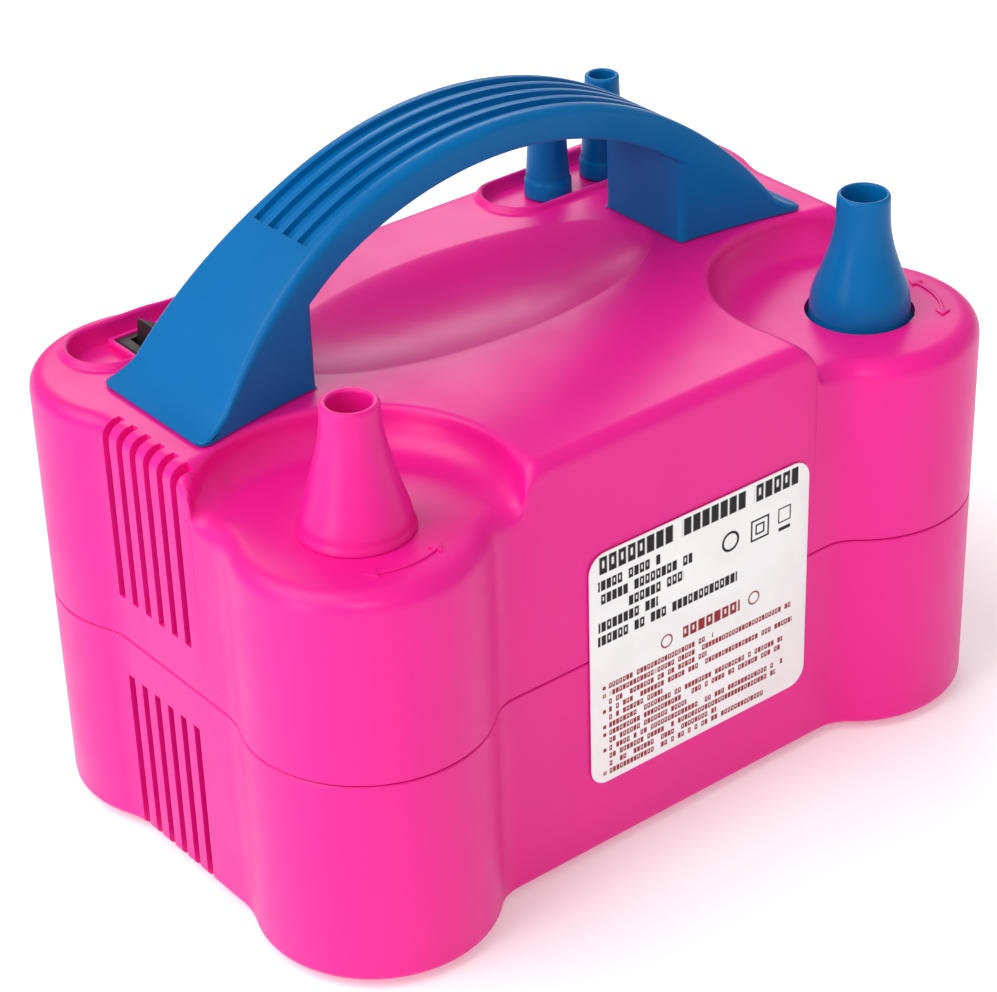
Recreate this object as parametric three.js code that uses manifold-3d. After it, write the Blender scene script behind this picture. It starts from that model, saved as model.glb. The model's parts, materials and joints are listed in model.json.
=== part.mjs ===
// Electric balloon blower pump: a two-part moulded case on four feet with a blower in each half,
// a fixed nozzle, a press-to-blow nozzle, an arched handle and a well for two spare nozzles.
// Millimetres, +Z up, +X along the case, the label on the -Y side, origin under the case's middle.
import * as THREE from 'three';
import { mergeVertices } from 'three/addons/utils/BufferGeometryUtils.js';
import Module from 'manifold-3d';

const wasm = await Module();
wasm.setup();

// ---------------------------------------------------------------- driving dimensions
const GAP = 0.3; // between pieces that touch
const WALL = 2.6; // moulded wall
const STAND = 2; // how far the feet lift the case

const LOBE_X = 77.7; // corner lobes, which are also the nozzle axes
const LOBE_Y = 39.9;
const LOBE_R = 29.8;
const FRONT_Y = 58.8; // flat panels, measured from the middle
const BACK_Y = 65;
const END_X = 103.4;
const FRONT_FLAT = 50; // half lengths of those flats
const BACK_FLAT = 58;
const END_FLAT = 20;

const PARTING_Z = 55.75;
const POCKET_Z = 105; // floor of the pocket round each nozzle
const DECK_Z = 114.4; // top deck
const POCKET_R = 36.5;
const DECK_EDGE = 4; // rounding of the top edge

const WELL_X = 63.5; // oblong wells behind the handle
const WELL_Y = 52.5;
const WELL_LENGTH = 61;
const WELL_WIDTH = 23;
const WELL_RIM = 1.5; // bead round each well
const SWITCH_FLOOR_Z = 110.7;
const STORE_FLOOR_Z = 112;
const SWITCH_X = -66.5;
const SWITCH_Y = 51.8;
const BEZEL = 1.4; // thickness of the switch's flange
const SPARE_X = [54, 73];
const SPARE_Y = 52.2;
const SPARE_HEIGHT = 28.2;

const HANDLE_Y = 17.45;
const HANDLE_WIDTH = 28;
const HANDLE_TOP = { z: 60, r: 104 }; // arcs of the grip, centred on the case's middle plane
const HANDLE_UNDER = { z: 62.5, r: 93.2 };
const FOOT_IN = 56.4; // handle feet, from the inner face to the toe
const FOOT_OUT = 93.3;
const FOOT_FLARE = 7.35;

const BLOWER_X = 50; // blower axes
const BLOWER_Y = 5;
const FAN_R = 40;
const SHAFT_R = 3;
const POST_RADIUS = 36;
const POST_ANGLES = [90, 210, 330];

const VENT = { count: 6, pitch: 5.55, width: 2.5, y: 7.4, depthX: 98.4 };
const PRESS_HOLE_R = 13.7;
const SPIGOT_R = 11.3;
const FLANGE_R = 15.5;
const FLANGE_Z = 99.6;
const CASE_SCREWS = [[90, 52], [-90, 52], [97, -46], [-97, -46]];
const HANDLE_SCREW_X = [63, 76];
const FEET = [[-1, -1], [1, -1], [-1, 1], [1, 1]];

// ---------------------------------------------------------------- solids from three.js geometry
const radians = (degrees) => (degrees * Math.PI) / 180;

function solid(geometry) {
  const plain = geometry.clone();
  plain.deleteAttribute('normal');
  plain.deleteAttribute('uv');
  const merged = mergeVertices(plain);
  const index = merged.index.array;
  const kept = [];
  for (let i = 0; i < index.length; i += 3) {
    const [a, b, c] = [index[i], index[i + 1], index[i + 2]];
    if (a !== b && b !== c && c !== a) {
      kept.push(a, b, c);
    }
  }
  const vertProperties = new Float32Array(merged.attributes.position.array);
  return new wasm.Manifold(new wasm.Mesh({ numProp: 3, vertProperties, triVerts: new Uint32Array(kept) }));
}

function surface(body) {
  const mesh = body.getMesh();
  const geometry = new THREE.BufferGeometry();
  geometry.setAttribute('position', new THREE.BufferAttribute(mesh.vertProperties, 3));
  geometry.setIndex(new THREE.BufferAttribute(mesh.triVerts, 1));
  geometry.computeVertexNormals();
  return geometry;
}

function join(bodies) {
  return bodies.reduce((whole, body) => whole.add(body));
}

function cut(body, cutters) {
  return cutters.reduce((left, cutter) => left.subtract(cutter), body);
}

function box(x0, x1, y0, y1, z0, z1) {
  const geometry = new THREE.BoxGeometry(x1 - x0, y1 - y0, z1 - z0);
  return solid(geometry.translate((x0 + x1) / 2, (y0 + y1) / 2, (z0 + z1) / 2));
}

function rod(r, z0, z1, x = 0, y = 0, sides = 16) {
  const geometry = new THREE.CylinderGeometry(r, r, z1 - z0, sides).rotateX(Math.PI / 2);
  return solid(geometry.translate(x, y, (z0 + z1) / 2));
}

// A turned solid: profile points are [radius, height], anticlockwise with the radius to the right.
function turned(profile, sides = 24) {
  const points = profile.map(([r, z]) => new THREE.Vector2(r, z));
  return solid(new THREE.LatheGeometry(points, sides).rotateX(Math.PI / 2));
}

function ring(rIn, rOut, z0, z1, sides = 20) {
  return turned([[rIn, z0], [rOut, z0], [rOut, z1], [rIn, z1], [rIn, z0]], sides);
}

function prism(points, z0, z1) {
  const settings = { depth: z1 - z0, bevelEnabled: false };
  return solid(new THREE.ExtrudeGeometry(new THREE.Shape(points), settings).translate(0, 0, z0));
}

function roundedPrism(points, z0, z1, r, steps) {
  const settings = {
    depth: z1 - z0 - 2 * r,
    bevelThickness: r,
    bevelSize: r,
    bevelOffset: -r,
    bevelSegments: steps,
  };
  return solid(new THREE.ExtrudeGeometry(new THREE.Shape(points), settings).translate(0, 0, z0 + r));
}

// A plate drawn in X and Z, y0 to y1 thick.
function standing(points, y0, y1) {
  const settings = { depth: y1 - y0, bevelEnabled: false };
  const geometry = new THREE.ExtrudeGeometry(new THREE.Shape(points), settings).rotateX(Math.PI / 2);
  return solid(geometry.translate(0, y1, 0));
}

function arc(x, y, r, from, to, steps) {
  const points = [];
  for (let i = 0; i <= steps; i += 1) {
    const angle = radians(from + ((to - from) * i) / steps);
    points.push(new THREE.Vector2(x + r * Math.cos(angle), y + r * Math.sin(angle)));
  }
  return points;
}

// ---------------------------------------------------------------- outlines
// Radius of the hollow blend that meets a flat panel and a corner lobe.
function blendRadius(along, across) {
  return (along ** 2 + across ** 2 - LOBE_R ** 2) / (2 * (LOBE_R - across));
}

// One right-hand corner of the case, from the flat across Y to the flat across X, for y > 0.
function cornerPoints(panelY, panelFlat, inset) {
  const rPanel = blendRadius(LOBE_X - panelFlat, panelY - LOBE_Y);
  const rEnd = blendRadius(LOBE_Y - END_FLAT, END_X - LOBE_X);
  const panelAngle = THREE.MathUtils.radToDeg(Math.atan2(panelY + rPanel - LOBE_Y, panelFlat - LOBE_X));
  const endAngle = THREE.MathUtils.radToDeg(Math.atan2(END_FLAT - LOBE_Y, END_X + rEnd - LOBE_X));
  return [
    ...arc(END_X + rEnd, END_FLAT, rEnd + inset, 180, endAngle + 180, 3),
    ...arc(LOBE_X, LOBE_Y, LOBE_R - inset, endAngle, panelAngle, 10),
    ...arc(panelFlat, panelY + rPanel, rPanel + inset, panelAngle - 180, -90, 3),
  ];
}

function caseOutline(inset = 0) {
  const back = cornerPoints(BACK_Y, BACK_FLAT, inset);
  const front = cornerPoints(FRONT_Y, FRONT_FLAT, inset);
  const place = (points, sx, sy) => points.map((p) => new THREE.Vector2(p.x * sx, p.y * sy));
  return [
    ...place(back, 1, 1),
    ...place(back, -1, 1).reverse(),
    ...place(front, -1, -1),
    ...place(front, 1, -1).reverse(),
  ];
}

function oblong(x, y, length, width, grow = 0) {
  const r = width / 2 + grow;
  const reach = length / 2 - width / 2;
  return [...arc(x + reach, y, r, -90, 90, 8), ...arc(x - reach, y, r, 90, 270, 8)];
}

// ---------------------------------------------------------------- case
function caseBulk(inset, top, edge, steps) {
  const pockets = [-1, 1].map((side) =>
    rod(POCKET_R + inset, 80, DECK_Z + 10, side * LOBE_X, -LOBE_Y, 36));
  const low = roundedPrism(caseOutline(inset), 40, POCKET_Z - top, edge + 0.5, steps);
  const high = roundedPrism(caseOutline(inset), 40, DECK_Z - top, edge, steps);
  return low.add(cut(high, pockets));
}

function dish(grow) {
  const geometry = new THREE.SphereGeometry(1, 24, 10).rotateX(Math.PI / 2);
  geometry.scale(56 + grow, 24 + grow, 8 + grow);
  return solid(geometry.translate(0, HANDLE_Y, DECK_Z + GAP));
}

function vents(sides, z0, z1) {
  const slots = [];
  for (const side of sides) {
    for (let i = 0; i < VENT.count; i += 1) {
      const y = VENT.y + (i - (VENT.count - 1) / 2) * VENT.pitch;
      const x = [side * VENT.depthX, side * (END_X + 10)].sort((a, b) => a - b);
      slots.push(box(x[0], x[1], y - VENT.width / 2, y + VENT.width / 2, z0, z1));
    }
  }
  return slots;
}

function blowerPosts(z0, z1) {
  const posts = [];
  for (const side of [-1, 1]) {
    for (const angle of POST_ANGLES) {
      const x = side * (BLOWER_X + POST_RADIUS * Math.cos(radians(angle)));
      posts.push(rod(4, z0, z1, x, BLOWER_Y + POST_RADIUS * Math.sin(radians(angle)), 10));
    }
  }
  return posts;
}

function topShell() {
  const outer = caseBulk(0, 0, DECK_EDGE, 2);
  const wells = [[-1, SWITCH_FLOOR_Z], [1, STORE_FLOOR_Z]];
  const linings = wells.map(([side, floor]) =>
    prism(oblong(side * WELL_X, WELL_Y, WELL_LENGTH, WELL_WIDTH, 0.4), floor - WALL, 120));
  const hollow = cut(caseBulk(WALL, WALL, 2, 1), [dish(WALL), ...linings]);
  const rims = [-1, 1].map((side) =>
    roundedPrism(oblong(side * WELL_X, WELL_Y, WELL_LENGTH, WELL_WIDTH), 105, DECK_Z + WELL_RIM, 1, 1));
  const ribs = [
    ...blowerPosts(86 + GAP, 120),
    ...CASE_SCREWS.map(([x, y]) => rod(4, PARTING_Z + GAP, 120, x, y, 12)),
  ];
  const openings = [
    box(-150, 150, -100, 100, 0, PARTING_Z + GAP / 2),
    dish(0),
    ...vents([-1], 67.7, 125),
    rod(PRESS_HOLE_R, 90, 120, LOBE_X, -LOBE_Y, 28),
    rod(SPIGOT_R + GAP, 90, 120, -LOBE_X, -LOBE_Y, 24),
    box(SWITCH_X - 9.5, SWITCH_X + 9.5, SWITCH_Y - 5.7, SWITCH_Y + 5.7, 90, 120),
    ...wells.map(([side, floor]) =>
      prism(oblong(side * WELL_X, WELL_Y, WELL_LENGTH, WELL_WIDTH, -2.2), floor, 125)),
    ...CASE_SCREWS.map(([x, y]) => rod(1.8, 50, 72, x, y, 8)),
    ...[-1, 1].flatMap((side) =>
      HANDLE_SCREW_X.map((x) => rod(1.8, 100, 120, side * x, HANDLE_Y, 8))),
  ];
  const pegs = SPARE_X.map((x) => rod(2.8, STORE_FLOOR_Z - 1, STORE_FLOOR_Z + 9, x, SPARE_Y, 12));
  const walls = outer.subtract(hollow).add(join(ribs).intersect(outer)).add(join(rims).subtract(hollow));
  return cut(walls, openings).add(join(pegs));
}

function bottomShell() {
  const outer = roundedPrism(caseOutline(), 0, 80, 2, 2);
  const hollow = prism(caseOutline(WALL), WALL, 90);
  const ribs = [
    ...blowerPosts(1, 55.3),
    ...CASE_SCREWS.map(([x, y]) => rod(5, 1, PARTING_Z - GAP, x, y, 14)),
  ];
  const openings = [
    box(-150, 150, -100, 100, PARTING_Z - GAP / 2, 100),
    ...vents([-1, 1], -1, 45),
    ...CASE_SCREWS.map(([x, y]) => rod(3.4, -1, 30, x, y, 12)),
    ...CASE_SCREWS.map(([x, y]) => rod(1.8, 25, 60, x, y, 8)),
    ...FEET.map(([sx, sy]) => rod(3 + GAP, -1, 5, sx * 74, sy * 38, 12)),
    solid(new THREE.CylinderGeometry(6 + GAP, 6 + GAP, 20, 16).translate(-40, BACK_Y, 16)),
  ];
  return cut(outer.subtract(hollow).add(join(ribs)), openings);
}

// ---------------------------------------------------------------- handle
function handleTopAt(x) {
  return HANDLE_TOP.z + Math.sqrt(HANDLE_TOP.r ** 2 - x ** 2);
}

function handleOutline() {
  const sole = DECK_Z + GAP;
  const heel = 85;
  const heelAngle = THREE.MathUtils.radToDeg(Math.acos(heel / HANDLE_TOP.r));
  const underAngle = THREE.MathUtils.radToDeg(Math.acos(FOOT_IN / HANDLE_UNDER.r));
  const toe = [new THREE.Vector2(FOOT_OUT, sole), new THREE.Vector2(FOOT_OUT, sole + 0.8)];
  const curl = [0.33, 0.66].map((t) => new THREE.Vector2(
    FOOT_OUT + (heel - FOOT_OUT) * t,
    sole + 0.8 + (handleTopAt(heel) - sole - 0.8) * t * t,
  ));
  const mirrored = (points) => points.map((p) => new THREE.Vector2(-p.x, p.y)).reverse();
  return [
    ...toe,
    ...curl,
    ...arc(0, HANDLE_TOP.z, HANDLE_TOP.r, heelAngle, 180 - heelAngle, 22),
    ...mirrored([...toe, ...curl]),
    new THREE.Vector2(-FOOT_IN, sole),
    ...arc(0, HANDLE_UNDER.z, HANDLE_UNDER.r, 180 - underAngle, underAngle, 16),
    new THREE.Vector2(FOOT_IN, sole),
  ];
}

function handlePlan() {
  const half = HANDLE_WIDTH / 2;
  const quarter = [[48, half], [FOOT_IN + 4, half + 1.4], [FOOT_OUT + 1, half + FOOT_FLARE]];
  const place = (sx, sy) => quarter.map(([x, y]) => new THREE.Vector2(sx * x, HANDLE_Y + sy * y));
  return [...place(1, -1), ...place(1, 1).reverse(), ...place(-1, 1), ...place(-1, -1).reverse()];
}

// A slice of the arch between two radii about a centre, |x| less than reach.
function archBand(centreZ, rIn, rOut, reach, halfWidth, y = HANDLE_Y) {
  const angle = THREE.MathUtils.radToDeg(Math.acos(reach / rOut));
  const points = [
    ...arc(0, centreZ, rOut, angle, 180 - angle, 18),
    ...arc(0, centreZ, rIn, 180 - angle, angle, 18),
  ];
  return standing(points, y - halfWidth, y + halfWidth);
}

function handle() {
  const whole = standing(handleOutline(), HANDLE_Y - 30, HANDLE_Y + 30).intersect(prism(handlePlan(), 100, 180));
  const grooves = [-1.5, -0.5, 0.5, 1.5].map((n) =>
    archBand(HANDLE_TOP.z, HANDLE_TOP.r - 1.5, HANDLE_TOP.r + 3, 56, 1.85, HANDLE_Y + n * 5.7));
  const channel = archBand(HANDLE_UNDER.z, HANDLE_UNDER.r - 6, HANDLE_UNDER.r + 4.5, 50, 10.5);
  const sockets = [-1, 1].map((side) => {
    const x = [side * 59.4, side * 84].sort((a, b) => a - b);
    const block = box(x[0], x[1], HANDLE_Y - 11, HANDLE_Y + 11, 100, 150);
    const under = rod(HANDLE_TOP.r - 4, -40, 40, 0, 0, 48);
    const drum = surface(under).rotateX(Math.PI / 2).translate(0, HANDLE_Y, HANDLE_TOP.z);
    return block.intersect(solid(drum));
  });
  const bosses = [-1, 1].flatMap((side) => HANDLE_SCREW_X.map((x) =>
    rod(4, DECK_Z + GAP, 150, side * x, HANDLE_Y, 12).intersect(whole)));
  const bores = [-1, 1].flatMap((side) => HANDLE_SCREW_X.map((x) =>
    rod(1.8, 100, DECK_Z + 8, side * x, HANDLE_Y, 8)));
  return cut(cut(whole, [...grooves, channel, ...sockets]).add(join(bosses)), bores);
}

function handleUnderside() {
  return archBand(HANDLE_UNDER.z, HANDLE_UNDER.r, HANDLE_UNDER.r + 2.4, 48, 10.5 - GAP);
}

// ---------------------------------------------------------------- nozzles
// Bell and neck above the pocket floor, from the base ring to the rounded lip.
function bell(z0, height, rBase, rLip) {
  const ends = [[0, rBase], [4, rBase], [9, 10.9], [19, 7.7], [24, 6.9], [height - 1, rLip]];
  return ends.map(([dz, r]) => [r, z0 + dz]);
}

function nozzle(z0, height, rBase, rLip, rBore) {
  return turned([
    [9.9, FLANGE_Z - 2.6], [SPIGOT_R, FLANGE_Z - 2.6], [SPIGOT_R, FLANGE_Z],
    [FLANGE_R, FLANGE_Z], [FLANGE_R, FLANGE_Z + 2.4], [SPIGOT_R, FLANGE_Z + 2.4],
    [SPIGOT_R, z0], ...bell(z0, height, rBase, rLip),
    [rLip - 0.6, z0 + height], [rBore, z0 + height], [rBore, z0 + height - 8],
    [8.2, z0 + 12], [9.9, z0 + 4], [9.9, FLANGE_Z - 2.6],
  ], 20);
}

function pressNozzle() {
  const lug = box(LOBE_X + 3.3, LOBE_X + 6.9, -62, -54, FLANGE_Z, FLANGE_Z + 2.2);
  return nozzle(POCKET_Z - 1.5, 33.2, 12.6, 6.6, 5.2).translate([LOBE_X, -LOBE_Y, 0]).add(lug);
}

function spareNozzle() {
  return turned([
    [3.2, 0], [6.25, 0], [6.25, 4.6], [5.9, 5.4], [5, 16], [4.6, SPARE_HEIGHT - 0.6],
    [4.2, SPARE_HEIGHT], [3.2, SPARE_HEIGHT], [3.2, 0],
  ], 14);
}

function pressSpring() {
  const [z0, z1, turns, r] = [86 + GAP, FLANGE_Z - GAP, 4, 13.5];
  const wire = 0.65;
  class Helix extends THREE.Curve {
    getPoint(t, target = new THREE.Vector3()) {
      const angle = 2 * Math.PI * turns * t;
      return target.set(r * Math.cos(angle), r * Math.sin(angle), z0 + wire + (z1 - z0 - 2 * wire) * t);
    }
  }
  const section = new THREE.Shape(arc(0, 0, wire, 0, 288, 4));
  return solid(new THREE.ExtrudeGeometry(section, { steps: 40, extrudePath: new Helix() }));
}

// ---------------------------------------------------------------- rocker switch
function rockerFrame() {
  const bezelZ = SWITCH_FLOOR_Z + GAP;
  const body = join([
    box(-10.5, 10.5, -6.7, 6.7, bezelZ, bezelZ + BEZEL),
    box(-9.2, 9.2, -5.4, 5.4, 92, bezelZ + 1),
  ]);
  return body.subtract(box(-7.7, 7.7, -4.5, 4.5, 98, 120));
}

function rockerButton() {
  const profile = [[-5.6, -4], [5.6, -4], [6.8, 5.1], [0, 3.3], [-6.8, 5.1]];
  return standing(profile.map(([x, z]) => new THREE.Vector2(x, z)), -4.2, 4.2);
}

// ---------------------------------------------------------------- blower pieces, about their own axis
function sector(rIn, rOut, halfAngle, z0, z1, steps) {
  return prism([...arc(0, 0, rOut, -halfAngle, halfAngle, steps),
    ...arc(0, 0, rIn, halfAngle, -halfAngle, steps)], z0, z1);
}

function fieldCore() {
  const windows = [90, 270].map((angle) => {
    const gap = sector(14, 21.2, 39, 20, 50, 6);
    return gap.rotate([0, 0, angle]);
  });
  return cut(rod(27, 26, 46, 0, 0, 24), [rod(15.6, 20, 50, 0, 0, 20), ...windows]);
}

function fieldCoil(side) {
  const saddle = sector(16.5, 20.5, 84, 20, 51.6, 12);
  const coil = saddle.subtract(sector(10, 30, 52.5, 25.7, 46.3, 4));
  return side > 0 ? coil : coil.rotate([0, 0, 180]);
}

function armatureCore() {
  const teeth = 10;
  const points = [];
  for (let i = 0; i < teeth; i += 1) {
    for (const [turn, r] of [[-0.36, 14.8], [0.36, 14.8], [0.42, 9.5], [0.58, 9.5]]) {
      const angle = ((i + turn) * 2 * Math.PI) / teeth;
      points.push(new THREE.Vector2(r * Math.cos(angle), r * Math.sin(angle)));
    }
  }
  return prism(points, 25, 47).subtract(rod(SHAFT_R + GAP, 20, 50, 0, 0, 10));
}

function impeller() {
  const blades = [];
  for (let i = 0; i < 9; i += 1) {
    const blade = [
      ...arc(0, 0, 25, 0, 62, 3).map((p) => new THREE.Vector2(p.x - 13, p.y + 5)),
      ...arc(0, 0, 23.4, 62, 0, 3).map((p) => new THREE.Vector2(p.x - 13, p.y + 5)),
    ];
    blades.push(prism(blade, 64, 78).rotate([0, 0, i * 40]));
  }
  const hub = rod(7, 62.5, 74, 0, 0, 12);
  const plate = rod(34, 62.5, 64.5, 0, 0, 24);
  return join([plate, hub, ...blades]).subtract(rod(SHAFT_R + GAP, 60, 90, 0, 0, 10));
}

function motorBracket() {
  const frame = join([
    box(-27, 27, -5, 5, 3.2, 5.4),
    rod(11, 3.2, 10.6, 0, 0, 16),
    box(23, 27, -5, 5, 4, 25.7),
    box(-27, -23, -5, 5, 4, 25.7),
  ]);
  return cut(frame, [
    rod(8 + GAP, 5.4, 12, 0, 0, 16),
    rod(4, 2, 12, 0, 0, 10),
    box(-40, 40, -3.8, 3.8, 12.2, 18.8),
  ]);
}

function brushHolder(side) {
  const x = [side * 9.5, side * 29.5].sort((a, b) => a - b);
  return box(x[0], x[1], -3.5, 3.5, 12.5, 18.5);
}

function fanBase() {
  const plate = join([
    rod(FAN_R, 58.3, 60.8, 0, 0, 24),
    rod(11, 52, 59, 0, 0, 16),
    box(23, 27, -5, 5, 46.3, 59),
    box(-27, -23, -5, 5, 46.3, 59),
  ]);
  return cut(plate, [rod(8 + GAP, 50, 57.8, 0, 0, 16), rod(4, 50, 70, 0, 0, 10)]);
}

function ductWindow(side, halfWidth, y0, y1, z0, z1) {
  const x = side * (LOBE_X - BLOWER_X);
  return box(x - halfWidth, x + halfWidth, y0, y1, z0, z1);
}

function fanCover(side) {
  const cup = turned([[15, 84], [38, 84], [38, 61.1], [FAN_R, 61.1], [FAN_R, 86], [15, 86], [15, 84]], 24);
  return cup.subtract(ductWindow(side, 9, -60, -12, 66, 82));
}

function outletDuct(side) {
  const x = side * (LOBE_X - BLOWER_X);
  const y = -LOBE_Y - BLOWER_Y;
  const outer = join([ductWindow(side, 11, y, -12, 64, 84), rod(11, 64, 84, x, y, 16)]);
  const shelf = box(x - 10, x + 10, y - 22, y - 5, 76.4, 79.4);
  const seat = join([rod(16, 84, 86, x, y, 20), rod(9.4, 84, 98.5, x, y, 16)]);
  const bodies = side > 0 ? [outer, shelf, seat] : [outer, seat];
  return cut(join(bodies), [
    ductWindow(side, 9, y, 5, 66, 82),
    rod(9, 66, 82, x, y, 14),
    rod(7.6, 80, 110, x, y, 16),
    rod(FAN_R + GAP, 50, 100, 0, 0, 24),
  ]);
}

// ---------------------------------------------------------------- small pieces
function screw(length, headZ) {
  return turned([
    [0, headZ - 2.2], [1.2, headZ - 2.2], [2.9, headZ - 1], [2.9, headZ],
    [1.5, headZ], [1.5, headZ + length - 2], [0, headZ + length],
  ], 8);
}

function rubberFoot() {
  return turned([[0, -STAND], [7, -STAND], [8, -STAND + 0.8], [8, -GAP], [3, -GAP], [3, 4.5], [0, 4.5]], 16);
}

function grommet() {
  const profile = [[3.5, -4.6], [7.5, -4.6], [7.5, -2.9], [6, -2.9], [6, GAP], [8, GAP], [7.2, 2.2], [3.5, 2.2]];
  return turned([...profile, profile[0]], 14);
}

function labelPlate() {
  const [width, height, r] = [70, 65, 5];
  const corners = [[1, 1, 0], [-1, 1, 90], [-1, -1, 180], [1, -1, 270]];
  const points = corners.flatMap(([sx, sz, from]) =>
    arc(7.55 + sx * (width / 2 - r), 52 + sz * (height / 2 - r), r, from, from + 90, 4));
  return standing(points, -FRONT_Y - 2 * GAP, -FRONT_Y - GAP);
}

function terminalBlock() {
  const block = box(-12, 12, -6, 6, WALL + GAP, 12);
  return cut(block, [-8, 0, 8].map((x) => rod(2, 6, 14, x, 0, 8)));
}

// ---------------------------------------------------------------- finishes and assembly
const finishes = {
  pinkPlastic: ['#f0329f', 0.38, 0],
  bluePlastic: ['#0876bd', 0.36, 0],
  blackPlastic: ['#17181a', 0.45, 0],
  creamPlastic: ['#d9d2bd', 0.5, 0],
  whitePlastic: ['#e9e9e6', 0.5, 0],
  rubber: ['#1d1d1e', 0.85, 0],
  label: ['#f7f7f5', 0.35, 0],
  steel: ['#a9abae', 0.35, 1],
  laminations: ['#6d6f73', 0.55, 0.8],
  copper: ['#b8672f', 0.4, 0.9],
  brass: ['#b8933f', 0.35, 0.9],
};

const pump = new THREE.Group();
const caseGroup = new THREE.Group();
caseGroup.position.z = STAND;
pump.add(caseGroup);

function add(group, name, body, finish, position = [0, 0, 0]) {
  const [color, roughness, metalness] = finishes[finish];
  const mesh = new THREE.Mesh(surface(body), new THREE.MeshStandardMaterial({ color, roughness, metalness }));
  mesh.name = name;
  mesh.position.set(...position);
  group.add(mesh);
  return mesh;
}

add(caseGroup, 'bottom_shell', bottomShell(), 'pinkPlastic');
add(caseGroup, 'top_shell', topShell(), 'pinkPlastic');
add(caseGroup, 'handle', handle(), 'bluePlastic');
add(caseGroup, 'handle_underside', handleUnderside(), 'bluePlastic');
add(caseGroup, 'fixed_nozzle', nozzle(POCKET_Z + GAP, 31.4, 12.9, 6.7, 5), 'pinkPlastic', [-LOBE_X, -LOBE_Y, 0]);
add(caseGroup, 'press_nozzle', pressNozzle(), 'bluePlastic');
add(caseGroup, 'press_spring', pressSpring(), 'steel', [LOBE_X, -LOBE_Y, 0]);
SPARE_X.forEach((x, i) => {
  add(caseGroup, `spare_nozzle_${i + 1}`, spareNozzle(), 'bluePlastic', [x, SPARE_Y, STORE_FLOOR_Z + GAP]);
});
add(caseGroup, 'rocker_frame', rockerFrame(), 'blackPlastic', [SWITCH_X, SWITCH_Y, 0]);
const pivotZ = SWITCH_FLOOR_Z + GAP + BEZEL - 1.5;
const rocker = add(caseGroup, 'rocker_button', rockerButton(), 'blackPlastic', [SWITCH_X, SWITCH_Y, pivotZ]);
rocker.rotation.y = radians(15);
add(caseGroup, 'label_plate', labelPlate(), 'label');
add(caseGroup, 'cord_grommet', grommet(), 'rubber', [-40, BACK_Y, 16]).rotation.x = -Math.PI / 2;
FEET.forEach(([sx, sy], i) => {
  add(caseGroup, `foot_${i + 1}`, rubberFoot(), 'rubber', [sx * 74, sy * 38, 0]);
});
CASE_SCREWS.forEach(([x, y], i) => {
  add(caseGroup, `case_screw_${i + 1}`, screw(38, 29.7), 'steel', [x, y, 0]);
});
[-1, 1].flatMap((side) => HANDLE_SCREW_X.map((x) => side * x)).forEach((x, i) => {
  add(caseGroup, `handle_screw_${i + 1}`, screw(10, DECK_Z - WALL - GAP), 'steel', [x, HANDLE_Y, 0]);
});
add(caseGroup, 'terminal_block', terminalBlock(), 'creamPlastic', [-6, 50, 0]);

const switchBox = box(LOBE_X - 9.7, LOBE_X + 9.7, -62.4, -56.3, 79.7, 90.6);
add(caseGroup, 'microswitch', switchBox, 'blackPlastic');
const lever = add(caseGroup, 'microswitch_lever', box(0, 16, -1.5, 1.5, -0.2, 0.2), 'steel', [LOBE_X - 7.7, -59.4, 92.2]);
lever.rotation.y = radians(-24);

for (const [side, hand] of [[-1, 'left'], [1, 'right']]) {
  const blower = new THREE.Group();
  blower.position.set(side * BLOWER_X, BLOWER_Y, 0);
  caseGroup.add(blower);
  add(blower, `field_core_${hand}`, fieldCore(), 'laminations');
  add(blower, `field_coil_${hand}_1`, fieldCoil(-1), 'copper');
  add(blower, `field_coil_${hand}_2`, fieldCoil(1), 'copper');
  add(blower, `motor_bracket_${hand}`, motorBracket(), 'steel');
  add(blower, `brush_holder_${hand}_1`, brushHolder(-1), 'brass');
  add(blower, `brush_holder_${hand}_2`, brushHolder(1), 'brass');
  add(blower, `lower_bearing_${hand}`, ring(SHAFT_R + 0.17, 8, 5.7, 10.4, 12), 'steel');
  add(blower, `upper_bearing_${hand}`, ring(SHAFT_R + 0.17, 8, 52.6, 57.5, 12), 'steel');
  add(blower, `fan_base_${hand}`, fanBase(), 'whitePlastic');
  add(blower, `fan_cover_${hand}`, fanCover(side), 'whitePlastic');
  add(blower, `outlet_duct_${hand}`, outletDuct(side), 'whitePlastic');
  add(blower, `mount_ring_${hand}`, ring(33.5, 38.5, 55.6, 58, 16), 'rubber');
  add(blower, `motor_shaft_${hand}`, rod(SHAFT_R, 5.7, 76, 0, 0, 12), 'steel');
  add(blower, `armature_${hand}`, armatureCore(), 'laminations');
  add(blower, `commutator_${hand}`, ring(SHAFT_R + GAP, 9, 11.8, 19.6, 16), 'copper');
  add(blower, `impeller_${hand}`, impeller(), 'whitePlastic');
}

export default pump;
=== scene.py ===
# %% [markdown]
# An electric balloon blower pump. The CAD model already holds every piece at its real size. Here
# each piece that shows is modelled again with the soft edges and coves that a moulding shop gives
# it, and every piece gets a finish built from nodes.
# %% Load the frame
import bpy
import json
import math
import numpy as np
from mathutils import Matrix, Vector
from mathutils.geometry import delaunay_2d_cdt
from mathutils.kdtree import KDTree


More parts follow.
